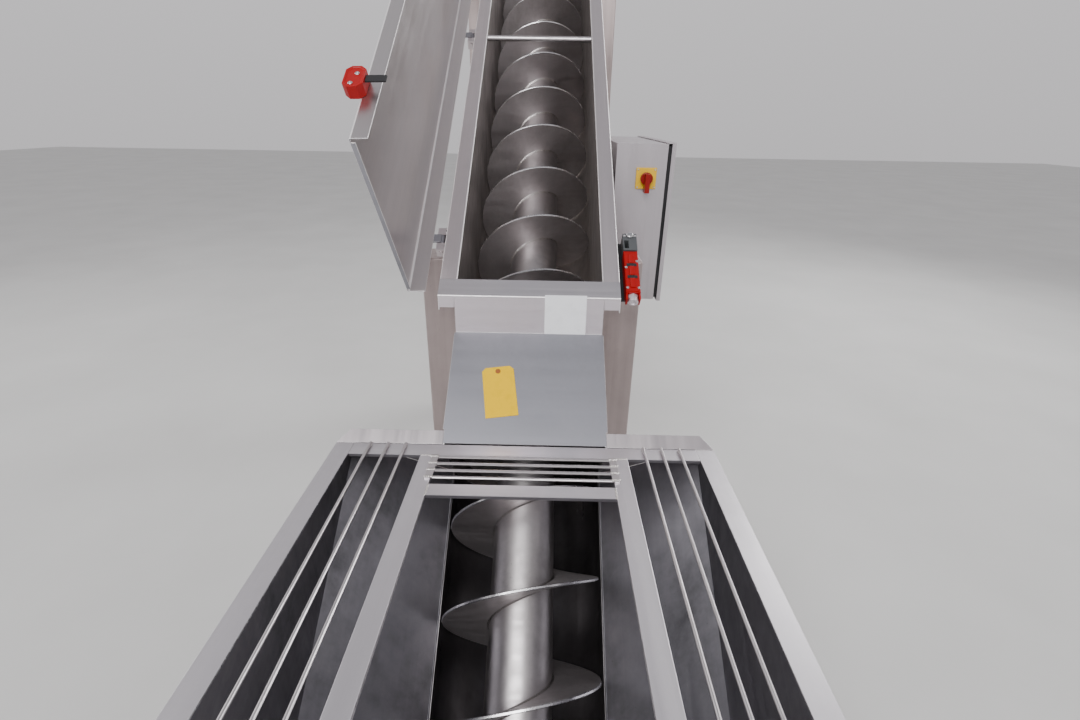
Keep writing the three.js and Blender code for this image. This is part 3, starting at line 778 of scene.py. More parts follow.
def finish_piece(
    piece: Piece,
    material: Material,
    slot: Slot,
    body: Body = Body.FRAME,
    replaces: Sequence[str] = (),
    place: Matrix | None = None,
) -> Piece:
    """Gives a piece its place, material and body.

    Args:
        piece: The object.
        material: Its material.
        slot: The record's slot; not used.
        body: The body that it rides on.
        replaces: Frame nodes that it stands for.
        place: Where the piece's own frame goes, if it isn't in place yet.

    Returns:
        The same object.
    """
    if place is not None:
        place_in_mesh(piece, place)
    piece.data.materials.clear()
    piece.data.materials.append(material)
    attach(piece, body.value)
    if replaces:
        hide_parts(*replaces)
    log.info("%s: %d faces", piece.name, len(piece.data.polygons))
    return piece


def facing(direction: Vector, centre: Vector | None = None, reach: float = 0.0) -> FaceTest:
    """Gives a test for the faces that look in a direction.

    Args:
        direction: The direction.
        centre: A point on the axis of the wanted faces, where only those round it count.
        reach: How far from that axis the middle of a face may be.

    Returns:
        The test.
    """

    def test(face: Face) -> bool:
        """Says whether a face passes.

        Args:
            face: The face.

        Returns:
            Whether it looks in the direction, within reach of the axis.
        """
        if face.normal.dot(direction) < FACING:
            return False
        if centre is None:
            return True
        aside = face.center - centre
        return (aside - aside.dot(direction) * direction).length < reach

    return test


def face_width(mesh: bpy.types.Mesh, face: Face) -> float:
    """Gives a long face's width, as twice its area over its outline's length.

    Args:
        mesh: The face's mesh.
        face: The face.

    Returns:
        The width in metres.
    """
    points = [mesh.vertices[index].co for index in face.vertices]
    outline = sum((a - b).length for a, b in zip(points, points[1:] + points[:1]))
    return 2 * face.area / outline


def repaint_faces(piece: Piece, material: Material, test: FaceTest) -> None:
    """Gives the faces that pass a test another material, if they have the piece's own.

    Args:
        piece: The object.
        material: Their material.
        test: Whether a face takes it.
    """
    piece.data.materials.append(material)
    for face in piece.data.polygons:
        if face.material_index == 0 and test(face):
            face.material_index = len(piece.data.materials) - 1


def brighten_cuts(piece: Piece, material: Material) -> None:
    """Gives a sheet's narrow cut faces and roundings a brighter material, partly a painted highlight."""
    repaint_faces(piece, material, lambda face: face_width(piece.data, face) < CUT_FACE_WIDTH)


@dataclass(frozen=True)
class EdgeFacts:
    """What a choice of edges looks at: direction, middle, and the two faces beside it."""

    middle: Vector
    along: Vector
    normals: tuple[Vector, Vector]
    narrowest: float

    def is_fold(self) -> bool:
        """Says whether the edge is a sheet's fold, between two faces wider than a cut face."""
        return self.narrowest > FOLD_FACE_WIDTH

    def runs(self, direction: Vector) -> bool:
        """Says whether the edge runs in a direction, either way round."""
        return abs(self.along.dot(direction)) > FACING

    def joins(self, first: Vector, second: Vector) -> bool:
        """Says whether the two faces look in these two directions, in either order.

        Args:
            first: One direction.
            second: The other direction.

        Returns:
            Whether they do.
        """
        a, b = self.normals
        either_way = ((a, b), (b, a))
        return any(min(c.dot(first), d.dot(second)) > FACING for c, d in either_way)


EdgeTest = Callable[[EdgeFacts], bool]


def clear_choice(piece: Piece, kind: str) -> None:
    """Makes an object the active one, with none of its faces or edges selected.

    Args:
        piece: The object.
        kind: What is selected next, FACE or EDGE.
    """
    make_active(piece)
    bpy.ops.object.mode_set(mode="EDIT")
    bpy.ops.mesh.select_mode(type=kind)
    bpy.ops.mesh.select_all(action="DESELECT")
    bpy.ops.object.mode_set(mode="OBJECT")


def round_chosen(piece: Piece, width: float, test: EdgeTest, segments: int = 4) -> None:
    """Rounds the sharp edges that pass a test, or cuts them off with one segment.

    Args:
        piece: The object.
        width: The rounding's width in metres.
        test: Whether an edge is rounded.
        segments: Faces across a rounding.
    """
    mesh = piece.data
    beside: dict[tuple[int, int], list[Face]] = {}
    for face in mesh.polygons:
        for key in face.edge_keys:
            beside.setdefault(key, []).append(face)
    clear_choice(piece, "EDGE")
    chosen = 0
    for edge in mesh.edges:
        pair = beside.get(edge.key, [])
        if len(pair) != 2 or pair[0].normal.dot(pair[1].normal) > math.cos(SHARP_ANGLE):
            continue
        start, end = (mesh.vertices[index].co for index in edge.vertices)
        facts = EdgeFacts(
            (start + end) / 2,
            (end - start).normalized(),
            (pair[0].normal.copy(), pair[1].normal.copy()),
            min(face_width(mesh, face) for face in pair),
        )
        edge.select = test(facts)
        chosen += edge.select
    if chosen:
        bpy.ops.object.mode_set(mode="EDIT")
        bpy.ops.mesh.bevel(offset=width, segments=segments, affect="EDGES", clamp_overlap=True)
        bpy.ops.object.mode_set(mode="OBJECT")


def select_faces(piece: Piece, test: FaceTest) -> None:
    """Selects the faces that pass a test, and leaves the object being edited.

    Args:
        piece: The object.
        test: Whether a face is selected.
    """
    clear_choice(piece, "FACE")
    for face in piece.data.polygons:
        face.select = test(face)
    bpy.ops.object.mode_set(mode="EDIT")


def inset_faces(piece: Piece, test: FaceTest, thickness: float, depth: float = 0.0) -> None:
    """Insets the faces that pass a test, and raises or sinks them.

    Args:
        piece: The object.
        test: Whether a face is inset.
        thickness: The inset's width in metres.
        depth: How far the inner face rises, or sinks where negative.
    """
    select_faces(piece, test)
    bpy.ops.mesh.inset(thickness=thickness, depth=depth)
    bpy.ops.object.mode_set(mode="OBJECT")


def copies(model: Piece, name: str, places: Iterable[Matrix]) -> Piece:
    """Copies a model to each place, joins the copies and removes the model.

    Args:
        model: The object that is repeated.
        name: The joined object's name.
        places: Where each copy's own frame goes.

    Returns:
        One object with a mesh of its own for all the copies.
    """
    placed = []
    for number, matrix in enumerate(places, 1):
        copy = add_object(f"{name}_{number}", model.data.copy())
        place_in_mesh(copy, matrix)
        placed.append(copy)
    bpy.data.objects.remove(model)
    return join(name, placed)


def make_bolt(radius: float, height: float) -> Piece:
    """Models a hexagon bolt head on a washer, pointing up from the origin.

    Args:
        radius: The head's radius over its corners.
        height: The head's height.

    Returns:
        The bolt.
    """
    base = 0.18 * radius
    washer = add_round("washer", (0, 0, 0), (0, 0, base), radius=1.25 * radius, sides=24)
    head = add_round("head", (0, 0, base), (0, 0, base + height), radius, sides=6)
    inset_faces(head, facing(UP), thickness=0.14 * radius, depth=0.1 * radius)
    inset_faces(washer, facing(UP), thickness=0.08 * radius, depth=0.03 * radius)
    for part in (washer, head):
        round_edges(part, width=0.03 * radius, segments=1, smooth_angle=25)
    return join("bolt", [washer, head])


def make_screw(radius: float, height: float) -> Piece:
    """Models a round screw head with a sunk drive, pointing up from the origin.

    Args:
        radius: The head's radius.
        height: The head's height.

    Returns:
        The screw.
    """
    drive = 0.05 * radius
    head = add_round("screw_head", (0, 0, 0), (0, 0, height), radius, sides=20)
    inset_faces(head, facing(UP), thickness=0.12 * radius, depth=0.12 * radius)
    inset_faces(head, facing(UP), thickness=0.4 * radius)
    inset_faces(head, facing(UP, Vector(), drive), thickness=drive, depth=-0.4 * height)
    round_edges(head)
    return head


def add_bead(name: str, start: Point, end: Point, width: float, up: Point = UP) -> Piece:
    """Models a weld bead as overlapping ripples from one point to another.

    Args:
        name: The object's name.
        start: Where the bead starts.
        end: Where the bead ends.
        width: The bead's width.
        up: The direction that the bead stands proud in.

    Returns:
        The bead.
    """
    run = Vector(end) - Vector(start)
    step = 0.45 * width
    ripple_length = 1.9 * step
    ripple_height = 0.62 * width
    deselect_all()
    bpy.ops.mesh.primitive_uv_sphere_add(segments=8, ring_count=5, radius=0.5)
    bead = bpy.context.object
    bead.name = name
    bead.scale = (width, ripple_length, ripple_height)
    bpy.ops.object.transform_apply(location=True, rotation=True, scale=True)
    apply_modifier(
        bead, "ARRAY", count=max(2, round(run.length / step)), use_relative_offset=False,
        use_constant_offset=True, constant_offset_displace=(0.0, step, 0.0),
    )
    along = run.normalized()
    across = along.cross(Vector(up)).normalized()
    turn = Matrix((across, along, across.cross(along))).transposed().to_4x4()
    place_in_mesh(bead, Matrix.Translation(start) @ turn)
    round_edges(bead, smooth_angle=60)
    return bead


def dress_node(
    node: str,
    material: Material,
    slot: Slot,
    body: Body = Body.FRAME,
    width: float = 0.0005,
    smooth_angle: float = 25.0,
    cut: Material | None = None,
    fold: EdgeTest | None = None,
    fold_width: float = 0.0045,
) -> Piece:
    """Takes over a frame node's shape with merged faces and rounded edges.

    Args:
        node: The node's name.
        material: The material.
        slot: The record's slot.
        body: The body that the node rides on.
        width: Width of the rounded edges in metres.
        smooth_angle: Angle in degrees up to which faces shade as one.
        cut: The brighter material of a sheet's narrow cut faces and folds, partly a painted highlight.
        fold: Whether an edge is a fold, which gets a wider rounding.
        fold_width: Width of the folds' rounding in metres.

    Returns:
        The new piece, which replaces the node.
    """
    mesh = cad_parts[node].data.copy()
    mesh.materials.clear()
    piece = add_object(f"{node}_dressed", mesh)
    make_active(piece)
    bpy.ops.object.mode_set(mode="EDIT")
    bpy.ops.mesh.select_all(action="SELECT")
    bpy.ops.mesh.remove_doubles(threshold=MERGE_DISTANCE)
    bpy.ops.mesh.dissolve_limited(angle_limit=FLAT_ANGLE)
    bpy.ops.object.mode_set(mode="OBJECT")
    if fold:
        round_chosen(piece, fold_width, fold)
    round_edges(piece, width, smooth_angle=smooth_angle)
    finish_piece(piece, material, slot, body, [node])
    if cut:
        brighten_cuts(piece, cut)
    return piece


@dataclass
class Studio:
    """Camera, floor and lights. The camera comes from the photograph's vanishing points."""

    eye: tuple[float, float, float] = (0.04, -1.5, 1.45)
    focal_pixels: float = 541.0
    picture_width: float = 1080.0
    picture_middle: Span = (540.0, 360.0)
    vanish_ahead: Span = (549.5, 116.0)
    vanish_down: Span = (520.0, 1558.0)
    sensor: float = 36.0
    view_end: float = 60.0
    floor_size: float = 40.0
    floor_middle: tuple[float, float, float] = (0.0, 2.0, 0.0)
    floor_shades: tuple[Colour, Colour] = ((0.62, 0.615, 0.6), (0.68, 0.675, 0.66))
    floor_roughness: float = 0.85
    horizon: Colour = (0.74, 0.72, 0.74)
    middle_height: Colour = (1.0, 0.98, 1.0)
    zenith: Colour = (0.42, 0.42, 0.45)
    surround_strength: float = 0.85

    def ray(self, pixel: Span) -> Vector:
        """Gives a pixel's direction in the camera's right, up and back axes.

        Args:
            pixel: The pixel's column and row in the photograph.

        Returns:
            The direction, one unit long.
        """
        across = pixel[0] - self.picture_middle[0]
        up = self.picture_middle[1] - pixel[1]
        return Vector((across, up, -self.focal_pixels)).normalized()

    def add_camera(self) -> None:
        """Adds the camera and makes it the scene's."""
        ahead = self.ray(self.vanish_ahead)
        up = -self.ray(self.vanish_down)
        right = ahead.cross(up).normalized()
        up = right.cross(ahead).normalized()
        data = bpy.data.cameras.new("camera")
        data.sensor_width = self.sensor
        data.lens = self.focal_pixels / self.picture_width * self.sensor
        data.clip_end = self.view_end
        camera = add_object("camera", data)
        camera.matrix_world = Matrix.Translation(self.eye) @ Matrix((right, ahead, up)).to_4x4()
        bpy.context.scene.camera = camera

    def add_floor(self) -> None:
        """Adds a plain pale floor."""
        deselect_all()
        bpy.ops.mesh.primitive_plane_add(size=self.floor_size, location=self.floor_middle)
        floor = bpy.context.object
        floor.name = "floor"
        place_in_mesh(floor, Matrix.Identity(4))
        material, sheet, shader = start_material("pale floor")
        cloud = sheet.noise(sheet.place(), 1.4, detail=5.0)
        shade = sheet.mix(sheet.remap(cloud, 0.3, 0.7), *self.floor_shades)
        sheet.link(shade, shader.inputs["Base Color"])
        shader.inputs["Roughness"].default_value = self.floor_roughness
        floor.data.materials.append(material)

    def add_light(self, name: str, place: Point, target: Point, size: Span, power: float) -> None:
        """Adds a rectangular soft light.

        Args:
            name: The light's name.
            place: Where it stands.
            target: What it points at.
            size: Its width and height in metres.
            power: Its power in watts.
        """
        data = bpy.data.lights.new(name, "AREA")
        data.shape = "RECTANGLE"
        data.size, data.size_y = size
        data.energy = power
        aim = (Vector(target) - Vector(place)).to_track_quat("-Z", "Y")
        light = add_object(name, data)
        light.matrix_world = Matrix.Translation(place) @ aim.to_matrix().to_4x4()

    def add_world(self) -> None:
        """Sets a soft surround that is brightest between the horizon and the zenith."""
        world = bpy.data.worlds.new("soft surround")
        world.use_nodes = True
        bpy.context.scene.world = world
        sheet = NodeSheet(world.node_tree)
        background = world.node_tree.nodes["Background"]
        split = sheet.add("ShaderNodeSeparateXYZ")
        sheet.link(sheet.add("ShaderNodeTexCoord").outputs["Generated"], split.inputs["Vector"])
        height = split.outputs["Z"]
        low = sheet.mix(sheet.remap(height, -0.1, 0.45), self.horizon, self.middle_height)
        colour = sheet.mix(sheet.remap(height, 0.5, 1.0), low, self.zenith)
        sheet.link(colour, background.inputs["Color"])
        background.inputs["Strength"].default_value = self.surround_strength

    def build(self) -> None:
        """Sets up the whole studio."""
        self.add_camera()
        self.add_floor()
        self.add_light(
            "behind the camera", (-1.0, -4.4, 4.6), target=(0, 0, 0.9), size=(4.0, 2.4), power=260
        )
        self.add_light(
            "right and ahead", (3.7, 3.2, 3.7), target=(0, 0.6, 1.1), size=(2.4, 1.8), power=140
        )
        self.add_light(
            "left side", (-4.8, 1.0, 2.8), target=(0, 1.0, 1.0), size=(2.6, 2.4), power=45
        )
        self.add_world()


@dataclass
class Assembly:
    """A sub-assembly that is built in the finishes it is given."""

    finishes: Finishes

    def fasten(
        self, name: str, model: Piece, places: Iterable[Matrix], body: Body = Body.FRAME
    ) -> None:
        """Copies a bright fastener to its places, as one piece.

        Args:
            name: The piece's name.
            model: The fastener, pointing up from the origin.
            places: Where each copy's own frame goes.
            body: The body that they ride on.
        """
        finish_piece(copies(model, name, places), self.finishes.bright, Slot.POLISHED, body)


@dataclass
class Hopper(Assembly):
    """The infeed hopper with its rim and its legs."""

    leg_rounding: float = 0.003
    tie_rounding: float = 0.002
    seam_half: float = 0.1815
    seam_level: float = 0.0015
    seam_run: Span = (0.012, 0.716)
    seam_width: float = 0.005

    def build(self) -> None:
        """Dresses the hopper's nodes and models its seams."""
        # The hopper's walls, end plate and seams take the darkened hopper steel, painted shade inside the
        # hopper.
        steel, plain, cut = self.finishes.hopper, Slot.BRUSHED, self.finishes.bright
        column = self.finishes.column
        for side, _ in SIDES:
            dress_node(f"hopper_{side}_wall", steel, plain)
            dress_node(f"hopper_{side}_wing", self.finishes.flange, plain, cut=cut)
            dress_node(f"rim_{side}", self.finishes.rim, plain, cut=cut)
            dress_node(f"hopper_leg_{side}", column, Slot.DARK, width=self.leg_rounding)
        dress_node("hopper_end_plate", steel, plain, cut=cut)
        dress_node("rim_near", self.finishes.rim_across, plain, cut=cut)
        # The trough's bottom in the hopper takes the darker copy, painted shade with some residue.
        dress_node("trough_bottom_in_hopper", self.finishes.trough_shade_and_residue, Slot.DARK)
        dress_node("hopper_leg_tie", column, Slot.DARK, width=self.tie_rounding)
        self.build_seams()

    def build_seams(self) -> None:
        """Models the welds between the trough's bottom and the hopper's slopes."""
        for side, sign in SIDES:
            ends = [(sign * self.seam_half, station, self.seam_level) for station in self.seam_run]
            inwards_and_up = UP + sign * LEFT
            bead = add_bead(f"hopper_{side}_seam", *ends, self.seam_width, inwards_and_up)
            finish_piece(bead, self.finishes.hopper, Slot.BRUSHED, place=ON_INCLINE)


@dataclass
class Grille(Assembly):
    """Flat bars and rods over the hopper."""

    bar_rounding: float = 0.0008
    top: float = 0.785
    bar_x: Span = (0.1845, 0.2215)
    far_bar_y: Span = (-0.532, -0.491)
    cross_bar_y: Span = (-0.6645, -0.63)
    cross_rod_y: tuple[float, ...] = (-0.61, -0.5865, -0.563, -0.5395)
    cross_blob: Span = (-0.002, 0.015)
    cross_blob_rise: float = 0.0025
    long_rod_x: tuple[float, ...] = (0.2605, 0.2995, 0.3385)
    long_tail: Span = (-0.014, -0.005)
    long_tail_rise: float = 0.002
    rod_weld_width: float = 0.009
    joint_width: float = 0.005

    def build(self) -> None:
        """Dresses the grille's nodes and models its welds."""
        rod, bar = self.finishes.rod, self.finishes.rim_across
        for name in ("grille_far_bar", "grille_cross_bar"):
            dress_node(name, bar, Slot.BRUSHED, width=self.bar_rounding)
        for side, _ in SIDES:
            name = f"grille_{side}_bar"
            dress_node(name, self.finishes.rim, Slot.BRUSHED, width=self.bar_rounding)
            dress_node(f"grille_{side}_rods", rod, Slot.POLISHED, width=0.0, smooth_angle=60)
        dress_node("grille_cross_rods", rod, Slot.POLISHED, width=0.0, smooth_angle=60)
        for side, sign in SIDES:
            beads = self.build_welds(sign)
            finish_piece(join(f"grille_{side}_welds", beads), self.finishes.weld, Slot.POLISHED)

    def build_welds(self, sign: int) -> list[Piece]:
        """Models one side's welds at rod ends and bar joints.

        Args:
            sign: 1 for the right side and -1 for the left.

        Returns:
            The beads.
        """
        inner, outer = (sign * x for x in self.bar_x)
        blob_start, blob_end = (sign * (self.bar_x[0] + reach) for reach in self.cross_blob)
        tail_start, tail_end = (self.far_bar_y[1] + reach for reach in self.long_tail)
        blob_level = self.top + self.cross_blob_rise
        tail_level = self.top + self.long_tail_rise
        cross_start, cross_end = self.cross_bar_y
        far_edge = self.far_bar_y[0]
        rod_runs = [((blob_start, y, blob_level), (blob_end, y, blob_level)) for y in self.cross_rod_y]
        for x in self.long_rod_x:
            rod_runs.append(((sign * x, tail_start, tail_level), (sign * x, tail_end, tail_level)))
        joint_runs = [
            ((inner, cross_start, self.top), (inner, cross_end, self.top)),
            ((inner, far_edge, self.top), (outer, far_edge, self.top)),
        ]
        beads = [add_bead("rod_weld", start, end, self.rod_weld_width) for start, end in rod_runs]
        beads += [add_bead("joint", start, end, self.joint_width) for start, end in joint_runs]
        return beads


@dataclass
class Trough(Assembly):
    """The inclined trough, its flange frame, apron, end plate and spout."""

    flange_fold: float = 0.0025
    apron_rounding: float = 0.0012
    card_x: Span = (0.0382, 0.1392)
    card_y: Span = (-0.2526, -0.2519)
    card_z: Span = (0.957, 1.058)
    tag_half: Span = (0.0375, 0.065)
    tag_thickness: float = 0.0009
    tag_place: tuple[float, float, float] = (-0.0627, 0.8588, 0.1866)
    tag_turn: float = math.radians(7.9)
    tag_clip: float = 0.009
    eyelet_place: tuple[float, float, float] = (0.0, 0.053, 0.001)
    eyelet_radius: float = 0.0062
    eyelet_height: float = 0.0008
    end_station: float = 3.2843
    end_bolt_reach: float = 0.193
    end_bolt_step: int = 30
    end_bolt_radius: float = 0.009
    end_bolt_height: float = 0.006
    spout_bolt_x: tuple[float, ...] = (-0.146, 0.0, 0.146)
    spout_bolt_y: Span = (1.514, 1.731)
    spout_bottom: float = 1.435
    spout_bolt_radius: float = 0.008
    spout_bolt_height: float = 0.005

    def build(self) -> None:
        """Dresses the trough's nodes and models its cards and bolts."""
        dress_node("trough", self.finishes.trough, Slot.DARK, cut=self.finishes.bright)
        # worn holds the near-white painted highlight for the folds and cut faces of the flanges and the
        # apron.
        worn = self.finishes.fold_highlight
        beside_front = (OFF_INCLINE, LEFT, RIGHT)
        folds: dict[str, EdgeTest] = {
            "left": lambda edge: edge.is_fold() or edge.joins(OFF_INCLINE, RIGHT),
            "right": lambda edge: edge.is_fold() or edge.joins(OFF_INCLINE, LEFT),
            "front": lambda edge: any(edge.joins(NEAR, other) for other in beside_front),
            "far": EdgeFacts.is_fold,
        }
        flanges = {
            part: dress_node(
                f"flange_{part}",
                self.finishes.rim_across if part == "front" else self.finishes.flange,
                Slot.BRUSHED, width=0.0, cut=worn, fold=fold, fold_width=self.flange_fold,
            )
            for part, fold in folds.items()
        }
        apron = dress_node(
            "apron", self.finishes.apron, Slot.BRUSHED, width=self.apron_rounding, cut=worn,
            fold=EdgeFacts.is_fold,
        )
        # Faces of the front flange and the apron that look to the front take the lighter steel, as painted
        # light.
        for piece in (flanges["front"], apron):
            repaint_faces(piece, self.finishes.front_lit_steel, lambda face: face.normal.y < -SQUARE_ON)
        dress_node("tie_bar", self.finishes.rod, Slot.POLISHED, smooth_angle=60)
        dress_node("upper_end_plate", self.finishes.sheet, Slot.BRUSHED)
        dress_node("discharge_spout", self.finishes.sheet, Slot.BRUSHED)
        self.build_card()
        self.build_tag()
        self.build_bolts()

    def build_card(self) -> None:
        """Models the blank white card on the front plate."""
        card = add_box("front_card", self.card_x, self.card_y, self.card_z)
        inset_faces(card, facing(NEAR), thickness=0.002, depth=0.0002)
        round_edges(card, width=0.0002, segments=1)
        finish_piece(card, self.finishes.card_white, Slot.BRUSHED)

    def build_tag(self) -> None:
        """Models the blank tag on the apron, with its far corners clipped, and its eyelet."""
        turn = Matrix.Rotation(self.tag_turn, 4, "Z")
        place = ON_INCLINE @ Matrix.Translation(self.tag_place) @ turn
        half_width, half_length = self.tag_half
        tag = add_box(
            "apron_tag", (-half_width, half_width), (-half_length, half_length), (0, self.tag_thickness)
        )
        round_chosen(tag, self.tag_clip, lambda edge: edge.runs(UP) and edge.middle.y > 0, segments=1)
        inset_faces(tag, facing(UP), thickness=0.003, depth=0.0002)
        round_edges(tag, width=0.0003, segments=1)
        finish_piece(tag, self.finishes.card_yellow, Slot.YELLOW, place=place)
        eyelet = make_screw(self.eyelet_radius, self.eyelet_height)
        eyelet.name = "apron_tag_eyelet"
        place = place @ Matrix.Translation(self.eyelet_place)
        finish_piece(eyelet, self.finishes.card_brown, Slot.YELLOW, place=place)

    def build_bolts(self) -> None:
        """Models the bolts round the upper end plate and the spout's flange."""
        ring = []
        for degrees in range(-180, 1, self.end_bolt_step):
            angle = math.radians(degrees)
            x, level = self.end_bolt_reach * math.cos(angle), self.end_bolt_reach * math.sin(angle)
            place = ON_INCLINE @ Matrix.Translation((x, self.end_station, level))
            ring.append(place @ turn_up_to(FAR))
        self.fasten("end_plate_bolts", make_bolt(self.end_bolt_radius, self.end_bolt_height), ring)
        corners = [
            Matrix.Translation((x, y, self.spout_bottom))
            for x in self.spout_bolt_x
            for y in self.spout_bolt_y
        ]
        self.fasten("spout_bolts", make_bolt(self.spout_bolt_radius, self.spout_bolt_height), corners)


@dataclass
class Screw(Assembly):
    """The screw: a tube with shaft ends and a welded flight."""

    pitch: float = 0.2
    radius: float = 0.1725
    first_crest: float = 0.032
    start: float = 0.014
    end: float = 3.236
    thickness: float = 0.006
    chamfer: float = 0.0012
    steps_per_turn: int = 64
    weld_radius: float = 0.004
    weld_waist: Span = (0.45, 0.55)
    tube_radius: float = 0.07
    sunk: float = 0.001
    tube_run: Span = (0.008, 3.268)
    shaft_radius: float = 0.025
    low_shaft_run: Span = (-0.04, 0.01)
    high_shaft_run: Span = (3.266, 3.336)
    shaft_rounding: float = 0.002

    def sweep_profile(self, name: str, points: Sequence[Span]) -> Piece:
        """Sweeps a closed outline round the screw's axis at its pitch.

        Args:
            name: The object's name.
            points: The outline's corners, as radius and station.

        Returns:
            The swept solid, in place on the incline.
        """
        length = self.end - self.start
        turns = length / self.pitch
        steps = round(turns * self.steps_per_turn)
        corners = [(0.0, station, radius) for radius, station in points]
        edges = [(i, (i + 1) % len(corners)) for i in range(len(corners))]
        mesh = bpy.data.meshes.new(name)
        mesh.from_pydata(corners, edges, [])
        piece = add_object(name, mesh)
        apply_modifier(
            piece, "SCREW", axis="Y", angle=FULL_TURN * turns, screw_offset=length,
            iterations=1, steps=steps, render_steps=steps, use_merge_vertices=False,
            use_smooth_shade=True, use_normal_calculate=False,
        )
        make_active(piece)
        bpy.ops.object.mode_set(mode="EDIT")
        bpy.ops.mesh.select_mode(type="EDGE")
        bpy.ops.mesh.select_all(action="DESELECT")
        bpy.ops.mesh.select_non_manifold()
        bpy.ops.mesh.fill()
        bpy.ops.mesh.select_all(action="SELECT")
        bpy.ops.mesh.normals_make_consistent(inside=False)
        bpy.ops.object.mode_set(mode="OBJECT")
        phase = FULL_TURN * (self.start - self.first_crest) / self.pitch
        place_in_mesh(piece, ON_INCLINE @ Matrix.Rotation(phase, 4, "Y"))
        return piece

    def build_flight(self) -> None:
        """Models the flight with its chamfered crest."""
        root, crest = self.tube_radius - self.sunk, self.radius
        low, high = self.start - self.thickness / 2, self.start + self.thickness / 2
        flight = self.sweep_profile("screw_flight_fine", [
            (root, low),
            (crest - self.chamfer, low),
            (crest, low + self.chamfer),
            (crest, high - self.chamfer),
            (crest - self.chamfer, high),
            (root, high),
        ])
        round_edges(flight, smooth_angle=30)
        finish_piece(flight, self.finishes.flight, Slot.POLISHED, Body.SCREW, ["screw_flight"])
        brighten_cuts(flight, self.finishes.bright)

    def build_welds(self) -> None:
        """Models the fillet welds on both faces of the flight's foot."""
        root, tube, size = self.tube_radius - self.sunk, self.tube_radius, self.weld_radius
        waist_out, waist_along = (share * size for share in self.weld_waist)
        for label, sign in (("low", -1), ("high", 1)):
            station = self.start + sign * self.thickness / 2
            bead = self.sweep_profile(f"flight_weld_{label}", [
                (root, station),
                (tube + size, station),
                (tube + waist_out, station + sign * waist_along),
                (root, station + sign * size),
            ])
            round_edges(bead, smooth_angle=50)
            finish_piece(bead, self.finishes.weld, Slot.POLISHED, Body.SCREW)

    def build_tube(self) -> None:
        """Models the tube and its shaft ends."""
        bars = (
            (self.tube_run, self.tube_radius, 96),
            (self.low_shaft_run, self.shaft_radius, 48),
            (self.high_shaft_run, self.shaft_radius, 48),
        )
        parts = []
        for (start, end), radius, sides in bars:
            parts.append(add_round("bar", (0, start, 0), (0, end, 0), radius, sides))
            round_edges(parts[-1], self.shaft_rounding)
        finish_piece(
            join("screw_tube_fine", parts), self.finishes.screw, Slot.POLISHED, Body.SCREW,
            ["screw_tube"], ON_INCLINE,
        )

    def build(self) -> None:
        """Models the whole screw."""
        self.build_flight()
        self.build_welds()
        self.build_tube()


